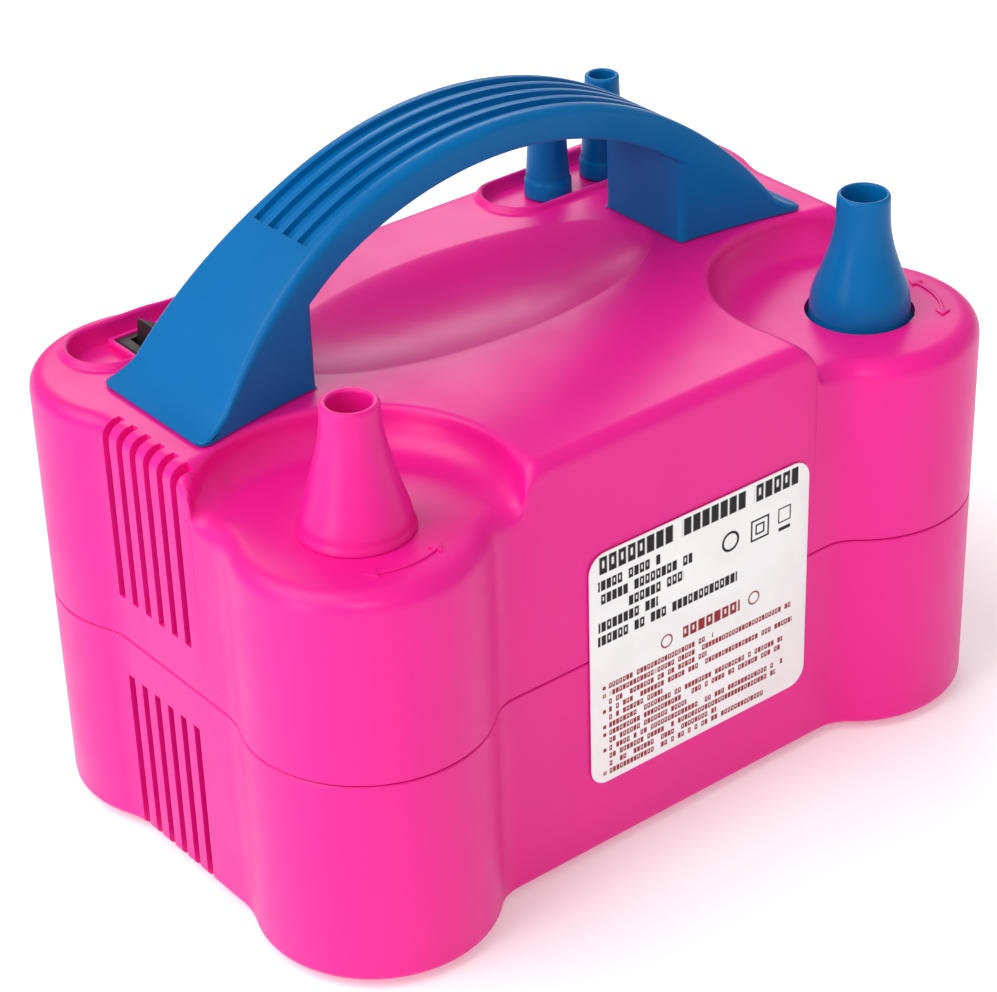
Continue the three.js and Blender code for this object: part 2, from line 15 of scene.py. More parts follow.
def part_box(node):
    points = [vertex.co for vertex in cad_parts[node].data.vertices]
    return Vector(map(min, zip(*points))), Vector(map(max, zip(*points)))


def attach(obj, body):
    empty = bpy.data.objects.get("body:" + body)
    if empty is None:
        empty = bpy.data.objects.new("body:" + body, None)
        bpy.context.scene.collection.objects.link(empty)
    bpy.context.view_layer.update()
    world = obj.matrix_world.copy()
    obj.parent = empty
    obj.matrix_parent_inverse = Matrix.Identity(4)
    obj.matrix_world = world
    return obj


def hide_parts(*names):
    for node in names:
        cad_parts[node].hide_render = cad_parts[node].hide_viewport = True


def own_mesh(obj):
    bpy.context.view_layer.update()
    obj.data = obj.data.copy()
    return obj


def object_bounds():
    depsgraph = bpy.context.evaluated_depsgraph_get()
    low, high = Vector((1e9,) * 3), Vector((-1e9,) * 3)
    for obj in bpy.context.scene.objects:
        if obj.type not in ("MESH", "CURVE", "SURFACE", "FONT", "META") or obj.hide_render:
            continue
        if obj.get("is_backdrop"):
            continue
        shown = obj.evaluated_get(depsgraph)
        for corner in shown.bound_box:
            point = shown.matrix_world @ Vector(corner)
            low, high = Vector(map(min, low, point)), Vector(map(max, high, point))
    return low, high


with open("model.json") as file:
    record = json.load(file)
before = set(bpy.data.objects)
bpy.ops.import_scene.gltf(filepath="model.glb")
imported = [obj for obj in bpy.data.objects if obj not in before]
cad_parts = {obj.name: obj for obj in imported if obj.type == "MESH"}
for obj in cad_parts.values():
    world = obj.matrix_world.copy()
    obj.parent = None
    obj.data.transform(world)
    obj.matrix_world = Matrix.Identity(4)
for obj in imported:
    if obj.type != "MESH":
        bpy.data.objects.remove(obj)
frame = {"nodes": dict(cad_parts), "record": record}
CAD_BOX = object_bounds()

# %% [markdown]
# Blender works in metres, but the drawing of a small appliance is in millimetres. One constant
# turns one into the other. The driving sizes come first: the four round corner lobes, the flat
# panels between them, and the levels of the deck, of the pockets and of the joint line. The feet
# lift the whole case off the table, so every level is counted from the underside of the shell.
# %% Driving sizes
MM = 0.001
STAND = 2.0
LOBE_X, LOBE_Y, LOBE_R = 77.7, 39.9, 29.8
FRONT_Y, BACK_Y, END_X = 58.8, 65.0, 103.4
FRONT_FLAT, BACK_FLAT, END_FLAT = 50.0, 58.0, 20.0
WALL = 2.6
PARTING_Z = STAND + 55.75
SEAM = 0.15
POCKET_Z = STAND + 105.0
DECK_Z = STAND + 114.4
DECK_EDGE, LOBE_EDGE = 4.0, 5.0
POCKET_R = 37.5
CEILING_Z = STAND + 102.4
DISH = {"y": 17.45, "long": 56.0, "wide": 24.0, "deep": 8.0}
WELL = {"x": 63.5, "y": 52.5, "length": 61.0, "width": 23.0}
HANDLE_Y = 17.45
SWITCH_FLOOR_Z = STAND + 110.7
STORE_FLOOR_Z = STAND + 112.0


def spot(node):
    """Middle of a CAD node's box, in millimetres."""
    low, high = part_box(node)
    return (low + high) / 2 / MM


SWITCH_X, SWITCH_Y = spot("rocker_frame")[:2]
print("fixed nozzle axis", spot("fixed_nozzle")[:2], "switch at", (SWITCH_X, SWITCH_Y))

# %% [markdown]
# A few hand tools are used for every piece: put away the selection, add a primitive, select by
# place, pull a profile round an axis, cut one piece with another, and bevel what is sharp. An
# operator acts on everything that is selected, so each tool starts by clearing the selection.
# %% Hand tools
def clear_selection():
    if bpy.context.object and bpy.context.object.mode != "OBJECT":
        bpy.ops.object.mode_set(mode="OBJECT")
    bpy.ops.object.select_all(action="DESELECT")


def take(piece):
    clear_selection()
    piece.select_set(True)
    bpy.context.view_layer.objects.active = piece
    return piece


def named(name):
    piece = bpy.context.object
    piece.name = name
    piece.data.name = name
    return piece


def settle(piece):
    """Puts the piece's place into its mesh and leaves the object at the origin."""
    piece.data.transform(piece.matrix_world)
    piece.matrix_world = Matrix.Identity(4)
    return piece


def edit(piece):
    take(piece)
    bpy.ops.object.mode_set(mode="EDIT")
    bpy.ops.mesh.select_mode(type="VERT")
    bpy.ops.mesh.select_all(action="SELECT")


def done():
    bpy.ops.object.mode_set(mode="OBJECT")


def tidy(piece, distance=0.00001):
    """Merges doubled points and turns every face outwards."""
    edit(piece)
    bpy.ops.mesh.remove_doubles(threshold=distance)
    bpy.ops.mesh.dissolve_degenerate(threshold=distance)
    bpy.ops.mesh.select_all(action="SELECT")
    bpy.ops.mesh.normals_make_consistent(inside=False)
    done()
    return piece


def smooth(piece, degrees=35):
    take(piece)
    bpy.ops.object.shade_smooth_by_angle(angle=math.radians(degrees))
    return piece


def apply(piece, kind, **settings):
    take(piece)
    modifier = piece.modifiers.new(kind.title(), kind)
    for key, value in settings.items():
        setattr(modifier, key, value)
    bpy.ops.object.modifier_apply(modifier=modifier.name)
    return piece


def bevel_sharp(piece, width, segments=2, degrees=40):
    return apply(piece, "BEVEL", width=width * MM, segments=segments, limit_method="ANGLE",
                 angle_limit=math.radians(degrees), miter_outer="MITER_ARC")


def cut(piece, cutters):
    """Takes the cutters out of the piece, all at once."""
    tool = cutters[0]
    if len(cutters) > 1:
        take(tool)
        for other in cutters[1:]:
            other.select_set(True)
        bpy.ops.object.join()
    apply(piece, "BOOLEAN", operation="DIFFERENCE", object=tool, solver="EXACT")
    bpy.data.objects.remove(tool)
    return piece


def block(name, low, high):
    """A box between two corners, in millimetres."""
    size = [(b - a) * MM for a, b in zip(low, high)]
    middle = [(a + b) / 2 * MM for a, b in zip(low, high)]
    clear_selection()
    bpy.ops.mesh.primitive_cube_add(size=1, location=middle, scale=size)
    return settle(named(name))


def arc(x, y, radius, start, end, steps):
    """Points of an arc, from one angle in degrees to another."""
    angles = np.radians(np.linspace(start, end, steps + 1))
    return [(x + radius * math.cos(a), y + radius * math.sin(a)) for a in angles]


def flow(points, count):
    """A smooth line through a few points, by Catmull-Rom."""
    p = [np.array(v, float) for v in points]
    p = [2 * p[0] - p[1], *p, 2 * p[-1] - p[-2]]
    line = []
    for i in range(1, len(p) - 2):
        for t in np.linspace(0, 1, count, endpoint=False):
            a = 2 * p[i] + (p[i + 1] - p[i - 1]) * t
            b = (2 * p[i - 1] - 5 * p[i] + 4 * p[i + 1] - p[i + 2]) * t ** 2
            c = (3 * p[i] - p[i - 1] - 3 * p[i + 1] + p[i + 2]) * t ** 3
            line.append(tuple((a + b + c) / 2))
    return [*line, tuple(p[-2])]


def turn(name, profile, centre, steps=64):
    """A turned piece: a loop of (radius, height) in millimetres spun about an upright axis."""
    x, y = centre
    clear_selection()
    bpy.ops.mesh.primitive_circle_add(vertices=len(profile), radius=1, fill_type="NOTHING")
    piece = settle(named(name))
    for vertex, (radius, height) in zip(piece.data.vertices, profile):
        vertex.co = ((x + radius) * MM, y * MM, height * MM)
    edit(piece)
    bpy.ops.mesh.spin(steps=steps, angle=2 * math.pi, center=(x * MM, y * MM, 0), axis=(0, 0, 1))
    done()
    return tidy(piece)


def mesh_of(name, points, faces):
    """A mesh from points in millimetres and faces."""
    data = bpy.data.meshes.new(name)
    data.from_pydata([tuple(c * MM for c in p) for p in points], [], faces)
    piece = bpy.data.objects.new(name, data)
    bpy.context.scene.collection.objects.link(piece)
    return piece


def plate(name, outline, low, high):
    """An outline in X and Y, filled and pulled up from one level to another."""
    clear_selection()
    bpy.ops.mesh.primitive_circle_add(vertices=len(outline), radius=1, fill_type="NGON")
    piece = settle(named(name))
    for vertex, (x, y) in zip(piece.data.vertices, outline):
        vertex.co = (x * MM, y * MM, low * MM)
    edit(piece)
    lift = {"value": (0, 0, (high - low) * MM)}
    bpy.ops.mesh.extrude_region_move(TRANSFORM_OT_translate=lift)
    done()
    return tidy(piece)


# %% [markdown]
# The camera stands in front, a little to the left of the pump and well above it, with a long
# lens that keeps upright edges nearly parallel. Its place and its slight roll are given as angles
# round the middle of the pump.
# %% Camera
AZIMUTH, ELEVATION, ROLL = math.radians(-38.0), math.radians(30.93), math.radians(-1.83)
DISTANCE, LENS = 722.1, 106.26
TARGET = Vector((-12.09, -7.01, STAND + 71.87)) * MM
towards = Vector((math.sin(AZIMUTH) * math.cos(ELEVATION), -math.cos(AZIMUTH) * math.cos(ELEVATION),
                  math.sin(ELEVATION)))
level = (-towards).cross(Vector((0, 0, 1))).normalized()
upward = level.cross(-towards)
across = level * math.cos(ROLL) + upward * math.sin(ROLL)
upward = upward * math.cos(ROLL) - level * math.sin(ROLL)
clear_selection()
bpy.ops.object.camera_add()
camera = bpy.context.object
camera.matrix_world = Matrix.Translation(TARGET + towards * DISTANCE * MM) @ Matrix(
    (across, upward, towards)).transposed().to_4x4()
camera.data.lens = LENS
camera.data.clip_start = 0.01
bpy.context.scene.camera = camera
print("camera at", [round(c, 3) for c in camera.location])

# %% [markdown]
# Shader maths reads best as ordinary expressions. A Wire wraps one socket and turns + - * / into
# Math nodes, in either order. A Paint owns one material: its node method adds any other node,
# setting its choices first and then its values or links.
# %% Shader helpers
class Wire:
    """One output socket. Sums and products of wires add Math nodes."""

    def __init__(self, paint, socket):
        self.paint, self.socket = paint, socket

    def __add__(self, other):
        return self.paint.maths("ADD", self, other)

    def __radd__(self, other):
        return self.paint.maths("ADD", other, self)

    def __sub__(self, other):
        return self.paint.maths("SUBTRACT", self, other)

    def __rsub__(self, other):
        return self.paint.maths("SUBTRACT", other, self)

    def __mul__(self, other):
        return self.paint.maths("MULTIPLY", self, other)

    def __rmul__(self, other):
        return self.paint.maths("MULTIPLY", other, self)

    def __truediv__(self, other):
        return self.paint.maths("DIVIDE", self, other)

    def __rtruediv__(self, other):
        return self.paint.maths("DIVIDE", other, self)


class Paint:
    """A material on its way: its nodes, its Principled shader and the object's own coordinates."""

    def __init__(self, name, **constants):
        self.material = bpy.data.materials.new(name)
        self.material.use_nodes = True
        self.tree = self.material.node_tree
        self.shader = self.tree.nodes["Principled BSDF"]
        for key, value in constants.items():
            self.shader.inputs[key.replace("_", " ")].default_value = value
        self.place = self.node("ShaderNodeTexCoord", out="Object")

    def node(self, kind, settings=None, out=0, **sockets):
        made = self.tree.nodes.new(kind)
        for key, value in (settings or {}).items():
            setattr(made, key, value)
        for key, value in sockets.items():
            numbered = key[0] == "i" and key[1:].isdigit()
            self.feed(made.inputs[int(key[1:]) if numbered else key], value)
        return Wire(self, made.outputs[out])

    def feed(self, slot, value):
        if isinstance(value, Wire):
            self.tree.links.new(value.socket, slot)
        else:
            slot.default_value = value

    def maths(self, operation, *values):
        return self.node("ShaderNodeMath", {"operation": operation},
                         **{f"i{n}": value for n, value in enumerate(values)})

    def mask(self, value, low, high):
        """0 below low, 1 above high, smooth between."""
        return self.node("ShaderNodeMapRange", {"interpolation_type": "SMOOTHSTEP", "clamp": True},
                         Value=value, i1=low, i2=high)

    def mix(self, share, a, b):
        made = self.tree.nodes.new("ShaderNodeMix")
        made.data_type = "RGBA"
        for slot, value in ((0, share), (6, a), (7, b)):
            self.feed(made.inputs[slot], value)
        return Wire(self, made.outputs[2])

    def pick(self, index, values):
        """The entry of a list at a whole-number index, from a ramp with one hard step for each."""
        made = self.tree.nodes.new("ShaderNodeValToRGB")
        ramp, most = made.color_ramp, max(values)
        ramp.interpolation = "CONSTANT"
        ramp.elements.remove(ramp.elements[1])
        for n, value in enumerate(values):
            step = ramp.elements.new(n / len(values)) if n else ramp.elements[0]
            step.position = n / len(values)
            step.color = (value / most,) * 3 + (1.0,)
        self.feed(made.inputs[0], (index + 0.5) / len(values))
        return Wire(self, made.outputs[0]) * most

    def noise(self, size, detail=2.0, roughness=0.5, place=None):
        """Noise whose features are about that many millimetres."""
        return self.node("ShaderNodeTexNoise", Vector=place or self.place, Scale=1 / (size * MM),
                         Detail=detail, Roughness=roughness)

    def axes(self):
        split = self.tree.nodes.new("ShaderNodeSeparateXYZ")
        self.feed(split.inputs[0], self.place)
        return [Wire(self, s) for s in split.outputs]

    def bump(self, height, distance, strength=1.0):
        """Relief of a height from 0 to 1, with that many millimetres between them."""
        self.set("Normal", self.node("ShaderNodeBump", Height=height, Distance=distance * MM,
                                     Strength=strength))

    def set(self, name, value):
        self.feed(self.shader.inputs[name], value)


def rgb(red, green, blue):
    """A screen colour, 0 to 255, as Blender's linear colour."""
    def linear(value):
        value /= 255
        return value / 12.92 if value <= 0.04045 else ((value + 0.055) / 1.055) ** 2.4
    return (linear(red), linear(green), linear(blue), 1.0)


def darker(colour, share):
    return tuple(c * share for c in colour[:3]) + (1.0,)


# %% [markdown]
# Moulded plastic is never one flat colour. Pigment is a little uneven over centimetres, the skin
# has a fine orange peel of about half a millimetre, and handling leaves broad patches that are
# slightly duller. Flow from the gate shows as faint long streaks. Each of these is small, and
# together they make the surface look like a real moulding when a light glances off it.
# %% Plastic finishes
def moulded(name, colour, roughness, peel=0.5, peel_depth=0.006, fade=0.93, speck=0.4):
    paint = Paint(name, Specular_IOR_Level=0.5, IOR=1.46)
    cloud = paint.noise(38, 3)
    grain = paint.noise(speck, 2, 0.6)
    streak = paint.noise(9, 2, 0.5, paint.node("ShaderNodeMapping", Vector=paint.place,
                                               Scale=(1.0, 1.0, 0.12)))
    uneven = paint.mask(cloud, 0.3, 0.7) * 0.6 + paint.mask(streak, 0.35, 0.7) * 0.25
    pigment = paint.mix(uneven, colour, darker(colour, fade))
    speckled = paint.mix(paint.mask(grain, 0.62, 0.8) * 0.12, pigment, darker(colour, 0.8))
    paint.set("Base Color", speckled)
    handled = paint.noise(22, 4, 0.6)
    dulled = paint.mask(handled, 0.35, 0.75) * 0.09
    paint.set("Roughness", dulled + (grain - 0.5) * 0.06 + roughness)
    orange_peel = paint.noise(peel, 1, 0.4) + paint.noise(3.2, 1, 0.4) * 0.8
    paint.bump(orange_peel, peel_depth)
    return paint


PINK = moulded("pink_moulding", rgb(238, 18, 144), 0.36)
BLUE = moulded("blue_moulding", rgb(0, 104, 168), 0.30, fade=0.9)
BLACK = moulded("black_moulding", rgb(26, 26, 29), 0.42, peel=0.35, peel_depth=0.012, fade=0.8)
WHITE = moulded("natural_nylon", rgb(214, 210, 198), 0.45)
CREAM = moulded("cream_urea", rgb(206, 196, 168), 0.4)
for paint, gloss in ((PINK, 0.4), (BLUE, 0.16)):
    paint.shader.inputs["Specular IOR Level"].default_value = gloss
    paint.shader.inputs["Subsurface Weight"].default_value = 0.04
    paint.shader.inputs["Subsurface Radius"].default_value = (0.004, 0.0015, 0.002)
    paint.shader.inputs["Subsurface Scale"].default_value = 0.4

# %% [markdown]
# The rubber of the feet and of the cord bush is matt, dusty and slightly porous. Metals inside
# the case are only glimpsed through the slots, but a laminated core, enamelled copper and zinc
# plate look nothing like each other, so each has its own short recipe.
# %% Rubber and metals
def rubber(name):
    paint = Paint(name, Specular_IOR_Level=0.35)
    dust = paint.mask(paint.noise(7, 4, 0.65), 0.5, 0.8)
    paint.set("Base Color", paint.mix(dust * 0.35, rgb(24, 24, 25), rgb(72, 70, 68)))
    paint.set("Roughness", dust * 0.12 + 0.72)
    paint.bump(paint.noise(0.3, 3, 0.6), 0.03)
    return paint


def metal(name, bright, dull, roughness, grain=(1, 1, 1), size=0.6):
    paint = Paint(name, Metallic=1.0)
    stretched = paint.node("ShaderNodeMapping", Vector=paint.place, Scale=grain)
    drawn = paint.noise(size, 3, 0.6, stretched)
    stain = paint.mask(paint.noise(8, 4, 0.6), 0.45, 0.75)
    paint.set("Base Color", paint.mix(stain * 0.7, bright, dull))
    paint.set("Roughness", drawn * 0.18 + stain * 0.15 + roughness)
    paint.bump(drawn, 0.008)
    return paint


RUBBER = rubber("black_rubber")
STEEL = metal("zinc_plate", rgb(196, 198, 200), rgb(140, 141, 143), 0.22)
CORE = metal("core_laminations", rgb(120, 122, 126), rgb(78, 70, 64), 0.4, (0.05, 0.05, 1.4))
COPPER = metal("enamelled_copper", rgb(190, 104, 50), rgb(120, 58, 26), 0.25, (1, 1, 3.0), 0.9)
BRASS = metal("brass", rgb(206, 168, 92), rgb(150, 116, 58), 0.28)


def dress(piece, paint, body, slot, *nodes):
    """Gives a piece its finish, lets it ride on its body and stand for its CAD nodes."""
    piece.data.materials.clear()
    piece.data.materials.append(paint.material)
    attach(piece, body)
    if nodes:
        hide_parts(*nodes)
    return piece

# %% [markdown]
# The case is one outline pulled up and down. Two of its four lobes carry the air nozzles. A
# hollow blend leads from each lobe to the flat panel beside it, and its radius follows from
# meeting both without a kink. The same arcs with a larger or smaller radius give the outline at
# any distance inside the case, which the rounded top edge and the wall both need.
# %% Case outline
def blend_radius(along, across):
    return (along ** 2 + across ** 2 - LOBE_R ** 2) / (2 * (LOBE_R - across))


def corner(panel_y, panel_flat, inset, steps):
    """The corner at +X and +Y, from the end panel round the lobe to the long panel."""
    panel = blend_radius(LOBE_X - panel_flat, panel_y - LOBE_Y)
    end = blend_radius(LOBE_Y - END_FLAT, END_X - LOBE_X)
    panel_angle = math.degrees(math.atan2(panel_y + panel - LOBE_Y, panel_flat - LOBE_X))
    end_angle = math.degrees(math.atan2(END_FLAT - LOBE_Y, END_X + end - LOBE_X))
    return [*arc(END_X + end, END_FLAT, end + inset, 180, end_angle + 180, steps // 3),
            *arc(LOBE_X, LOBE_Y, LOBE_R - inset, end_angle, panel_angle, steps),
            *arc(panel_flat, panel_y + panel, panel + inset, panel_angle - 180, -90, steps // 3)]


def case_outline(inset=0.0, steps=36):
    back, front = corner(BACK_Y, BACK_FLAT, inset, steps), corner(FRONT_Y, FRONT_FLAT, inset, steps)
    loop = [*back, *[(-x, y) for x, y in reversed(back)], *[(-x, -y) for x, y in front],
            *[(x, -y) for x, y in reversed(front)]]
    return [p for i, p in enumerate(loop) if math.dist(p, loop[i - 1]) > 0.01]


print("outline points", len(case_outline()))

# %% [markdown]
# The top of the case is a landscape: a flat deck, two round pockets 9 mm lower with a wide cove
# at the foot of their wall, a long finger dish under the handle, and two wells with a bead round
# them. Cutting these with solids would leave every cove and soft edge to be patched by hand.
# A moulded top has no undercuts, so its height at each point of the plan can be written down.
# These functions say how high the plastic is, and the next cell drapes a mesh over them.
# %% Heights of the deck
POCKETS = [(-LOBE_X, -LOBE_Y), (LOBE_X, -LOBE_Y)]
WELL_FLOORS = {-1: SWITCH_FLOOR_Z, 1: STORE_FLOOR_Z}
BEAD, BEAD_HALF, WELL_SIDE = 1.5, 1.0, 1.9
DENSE = np.array(case_outline(steps=400))
EDGE_STEP = 0.12


def resample(loop, spacing):
    """Points at even steps along a closed line."""
    line = np.vstack([loop, loop[:1]])
    run = np.concatenate([[0], np.cumsum(np.linalg.norm(np.diff(line, axis=0), axis=1))])
    stops = np.linspace(0, run[-1], int(run[-1] / spacing) + 1)[:-1]
    return np.column_stack([np.interp(stops, run, line[:, k]) for k in (0, 1)])


def tree_of(places):
    """A search tree that finds the nearest of some places in the plan."""
    tree = KDTree(len(places))
    for number, place in enumerate(places):
        tree.insert((*place, 0), number)
    tree.balance()
    return tree


EDGE_POINTS = resample(DENSE, EDGE_STEP)
EDGE_TREE = tree_of(EDGE_POINTS)


def rounding(depth, radius):
    """How far a rounded edge has fallen at a distance inside the outline."""
    reach = max(0.0, radius - depth)
    return radius - math.sqrt(max(0.0, radius ** 2 - reach ** 2))


BROW, BROW_AT_EDGE, BROW_REACH = 1.6, 5.2, 11


def pocket_share(distance, depth):
    """0 on the pocket floor and 1 on the deck, by a hollow cove and then a rounded brow."""
    height = DECK_Z - POCKET_Z
    near_edge = max(0.0, 1 - depth / BROW_REACH)
    brow = BROW + (BROW_AT_EDGE - BROW) * near_edge ** 2 * (3 - 2 * near_edge)
    cove = height - brow
    if distance < POCKET_R:
        along = max(0.0, distance - (POCKET_R - cove))
        return (cove - math.sqrt(cove ** 2 - along ** 2)) / height
    along = max(0.0, brow - (distance - POCKET_R))
    return 1 - (brow - math.sqrt(brow ** 2 - along ** 2)) / height


def well_offset(side, x, y):
    """Distance outside a well's outer line, negative inside it."""
    reach = (WELL["length"] - WELL["width"]) / 2
    along = max(0.0, abs(x - side * WELL["x"]) - reach)
    return math.hypot(along, y - WELL["y"]) - WELL["width"] / 2


def bead(offset):
    """A half-round bead with a soft outer foot."""
    if offset > -BEAD_HALF:
        t = min(1.0, (offset + BEAD_HALF) / (1.55 * BEAD_HALF))
        return BEAD * math.cos(math.pi / 2 * t) ** 1.5
    t = min(1.0, (-BEAD_HALF - offset) / BEAD_HALF)
    return BEAD * math.sqrt(1 - 0.75 * t * t)


def dish_depth(x, y):
    """The finger dish: a crisp front rim, and a back that fades into the deck."""
    v = (y - DISH["y"]) / DISH["wide"]
    left = 1 - (x / DISH["long"]) ** 2 - v ** 2
    if left <= 0:
        return 0.0
    softness = 0.72 + 0.75 * max(0.0, min(1.0, (v + 0.25) / 1.1))
    return DISH["deep"] * left ** softness


WELL_SLOPE, WELL_CURVE, BEAD_REACH = 1.7, 2.3, 1.5


def height_at(x, y, depth):
    """Height of the plastic at a place in the plan that lies some depth inside the outline."""
    low = POCKET_Z - rounding(depth, LOBE_EDGE)
    high = DECK_Z - rounding(depth, DECK_EDGE)
    share = pocket_share(min(math.hypot(x - a, y - b) for a, b in POCKETS), depth)
    z = low + (high - low) * share - dish_depth(x, y)
    for side, floor in WELL_FLOORS.items():
        offset = well_offset(side, x, y)
        if offset < BEAD_REACH:
            brim = z + bead(max(offset, -WELL_SIDE))
            t = min(1.0, max(0.0, (-WELL_SIDE - offset) / WELL_SLOPE))
            z = brim + (floor - brim) * (1 - (1 - t) ** WELL_CURVE)
    return z


print("deck", round(height_at(0, -30, 20), 2), "pocket", round(height_at(*POCKETS[0], 20), 2),
      "dish", round(height_at(0, DISH["y"], 30), 2))

# %% [markdown]
# Now the plan is covered with points: rows that follow the outline, circles round the pockets,
# rings along the beads and in the dish, and a plain lattice between. A Delaunay triangulation
# joins them, and keeps every row as an edge so that no triangle cuts across a rounding. Each
# point is then lifted to its height.
# %% Points of the deck
def depth_at(x, y):
    return EDGE_TREE.find((x, y, 0))[2]


FINE_STEP, CLOSE_STOPS, WIDE_STOPS, WALL_REACH = 0.1, 0.45, 1.5, 7


def outline_stops():
    """Places along the outline, close together where the pocket wall meets it."""
    line = resample(DENSE, FINE_STEP)
    stops, gone = [], WIDE_STOPS
    for i, (x, y) in enumerate(line):
        near = min(abs(math.hypot(x - a, y - b) - POCKET_R) for a, b in POCKETS)
        gone += FINE_STEP
        if gone >= (CLOSE_STOPS if near < WALL_REACH else WIDE_STOPS):
            stops.append(i)
            gone = 0.0
    return line, stops


LINE, STOPS = outline_stops()
TANGENT = np.roll(LINE, -3, 0) - np.roll(LINE, 3, 0)
INWARD = np.column_stack([-TANGENT[:, 1], TANGENT[:, 0]]) / np.linalg.norm(TANGENT, axis=1)[:, None]
RIM, RIM_IN = LINE[STOPS], INWARD[STOPS]
ROWS = [0.0, 0.2, 0.55, 1.05, 1.7, 2.5, 3.4, 4.4, 5.6]
CIRCLES = [27.5, 29.5, 31, 32.3, 33.5, 34.6, 35.5, 36.2, 36.8, 37.2, 37.42, 37.56, 37.75, 38.05,
           38.5, 39.1, 40, 41.2, 42.6]
RINGS = [0.9, 0.6, 0.4, 0.1, -0.2, -0.6, -1.0, -1.35, -1.65, -1.85, -1.95, -2.1, -2.35, -2.7, -3.2,
         -3.9]


def oblong(side, offset, steps=22):
    reach = (WELL["length"] - WELL["width"]) / 2
    x, y, radius = side * WELL["x"], WELL["y"], WELL["width"] / 2 + offset
    straight = [t * reach for t in np.linspace(-1, 1, 20)[1:-1]]
    return [*arc(x + reach, y, radius, -90, 90, steps), *[(x - s, y + radius) for s in straight],
            *arc(x - reach, y, radius, 90, 270, steps), *[(x + s, y - radius) for s in straight]]


def clear_of_wells(x, y, room=1.7):
    return all(well_offset(side, x, y) > room for side in (-1, 1))


def plan_rows():
    """Every closed row of points, each with the test that a point has to pass."""
    for row in ROWS:
        keep = (lambda x, y: True) if row < 0.1 else (lambda x, y: clear_of_wells(x, y, 1.6))
        yield RIM + RIM_IN * row, keep
    for x, y in POCKETS:
        for radius in CIRCLES:
            yield (arc(x, y, radius, 0, 360, 170)[:-1],
                   lambda a, b: inside(a, b) and depth_at(a, b) > 6.2 and clear_of_wells(a, b))
    for side in (-1, 1):
        for offset in RINGS:
            yield oblong(side, offset), lambda a, b: inside(a, b) and depth_at(a, b) > 0.35
    for share in (1.02, 0.998, 0.985, 0.96, 0.92, 0.86, 0.78, 0.68, 0.56, 0.42, 0.26, 0.1):
        count = max(12, int(130 * share))
        ring = [(x * DISH["long"] * share, DISH["y"] + y * DISH["wide"] * share)
                for x, y in arc(0, 0, 1, 0, 360, count)[:-1]]
        yield ring, clear_of_wells


def inside(x, y):
    """Inside the case's outline, by the side of the nearest wall."""
    point, number, _ = EDGE_TREE.find((x, y, 0))
    way = np.array(EDGE_POINTS[(number + 3) % len(EDGE_POINTS)]) - EDGE_POINTS[number - 3]
    return way[0] * (y - point[1]) - way[1] * (x - point[0]) > 0


plan, links = [], []
for row, keep in plan_rows():
    places = []
    for p in row:
        kept = keep(*p)
        places.append(len(plan) if kept else None)
        if kept:
            plan.append(tuple(p))
    links += [(places[i - 1], places[i]) for i in range(len(places))
              if places[i] is not None and places[i - 1] is not None]
crowd = tree_of(plan)
LATTICE, EDGE_ROOM, ROW_ROOM = 3.6, 7, 1.9
lattice = [(x, y) for x in np.arange(-104, 104, LATTICE) for y in np.arange(-66, 66, LATTICE)]
plan += [p for p in lattice
         if inside(*p) and depth_at(*p) > EDGE_ROOM and crowd.find((*p, 0))[2] > ROW_ROOM]
print("plan points", len(plan), "edges", len(links))

# %% [markdown]
# The wall hangs from the first row of the deck. It goes straight down to the joint with the
# lower half, ends in a small chamfer that draws the fine seam line, turns in by the thickness of
# the wall, and runs up again inside to the ceiling.
# %% Upper case
def upper_case():
    count = len(RIM)
    border = [list(range(count))]
    spots, _, faces, *_ = delaunay_2d_cdt([Vector(p) for p in plan], links, border, 1, 1e-6)
    points = [(p.x, p.y, height_at(p.x, p.y, depth_at(p.x, p.y))) for p in spots]
    for i in range(count):
        x, y, _ = points[i]
        points[i] = (x, y, height_at(x, y, 0.0))
    faces = [list(f) for f in faces]
    previous = list(range(count))
    for inset, z in ((0, PARTING_Z + SEAM + 0.3), (0.3, PARTING_Z + SEAM), (WALL, PARTING_Z + SEAM),
                     (WALL, CEILING_Z)):
        start = len(points)
        points.extend((*(RIM[i] + RIM_IN[i] * inset), z) for i in range(count))
        ring = list(range(start, start + count))
        faces += [[previous[i - 1], ring[i - 1], ring[i], previous[i]] for i in range(count)]
        previous = ring
    faces.append(previous)
    return tidy(mesh_of("upper_case", points, faces), 0.000004)


shell = upper_case()
print("upper case faces", len(shell.data.polygons), "height",
      round(max(v.co.z for v in shell.data.vertices) / MM, 1))

# %% [markdown]
# The openings come next. Six ventilation slots at the left end run up the wall and over the
# shoulder of the deck. The press nozzle slides in a round hole, the fixed one plugs into a
# smaller hole, and the switch drops through an oblong one in its well. All cutters are joined and
# taken out in one pass, which keeps the surface clean.
# %% Slots and holes in the upper case
VENT = {"count": 6, "pitch": 5.55, "width": 2.5, "y": 7.4, "floor": 98.4}
SLOT_LOW, SLOT_HIGH = STAND + 67.7, STAND + 45.0
PRESS_HOLE, SPIGOT_HOLE, SWITCH_HOLE = 13.7, 11.6, (9.5, 5.7)
BELOW, ABOVE = STAND + 88, STAND + 123


def drum(name, centre, radius, low, high, steps=64):
    clear_selection()
    place = (centre[0] * MM, centre[1] * MM, (low + high) / 2 * MM)
    bpy.ops.mesh.primitive_cylinder_add(vertices=steps, radius=radius * MM,
                                        depth=(high - low) * MM, location=place)
    return settle(named(name))


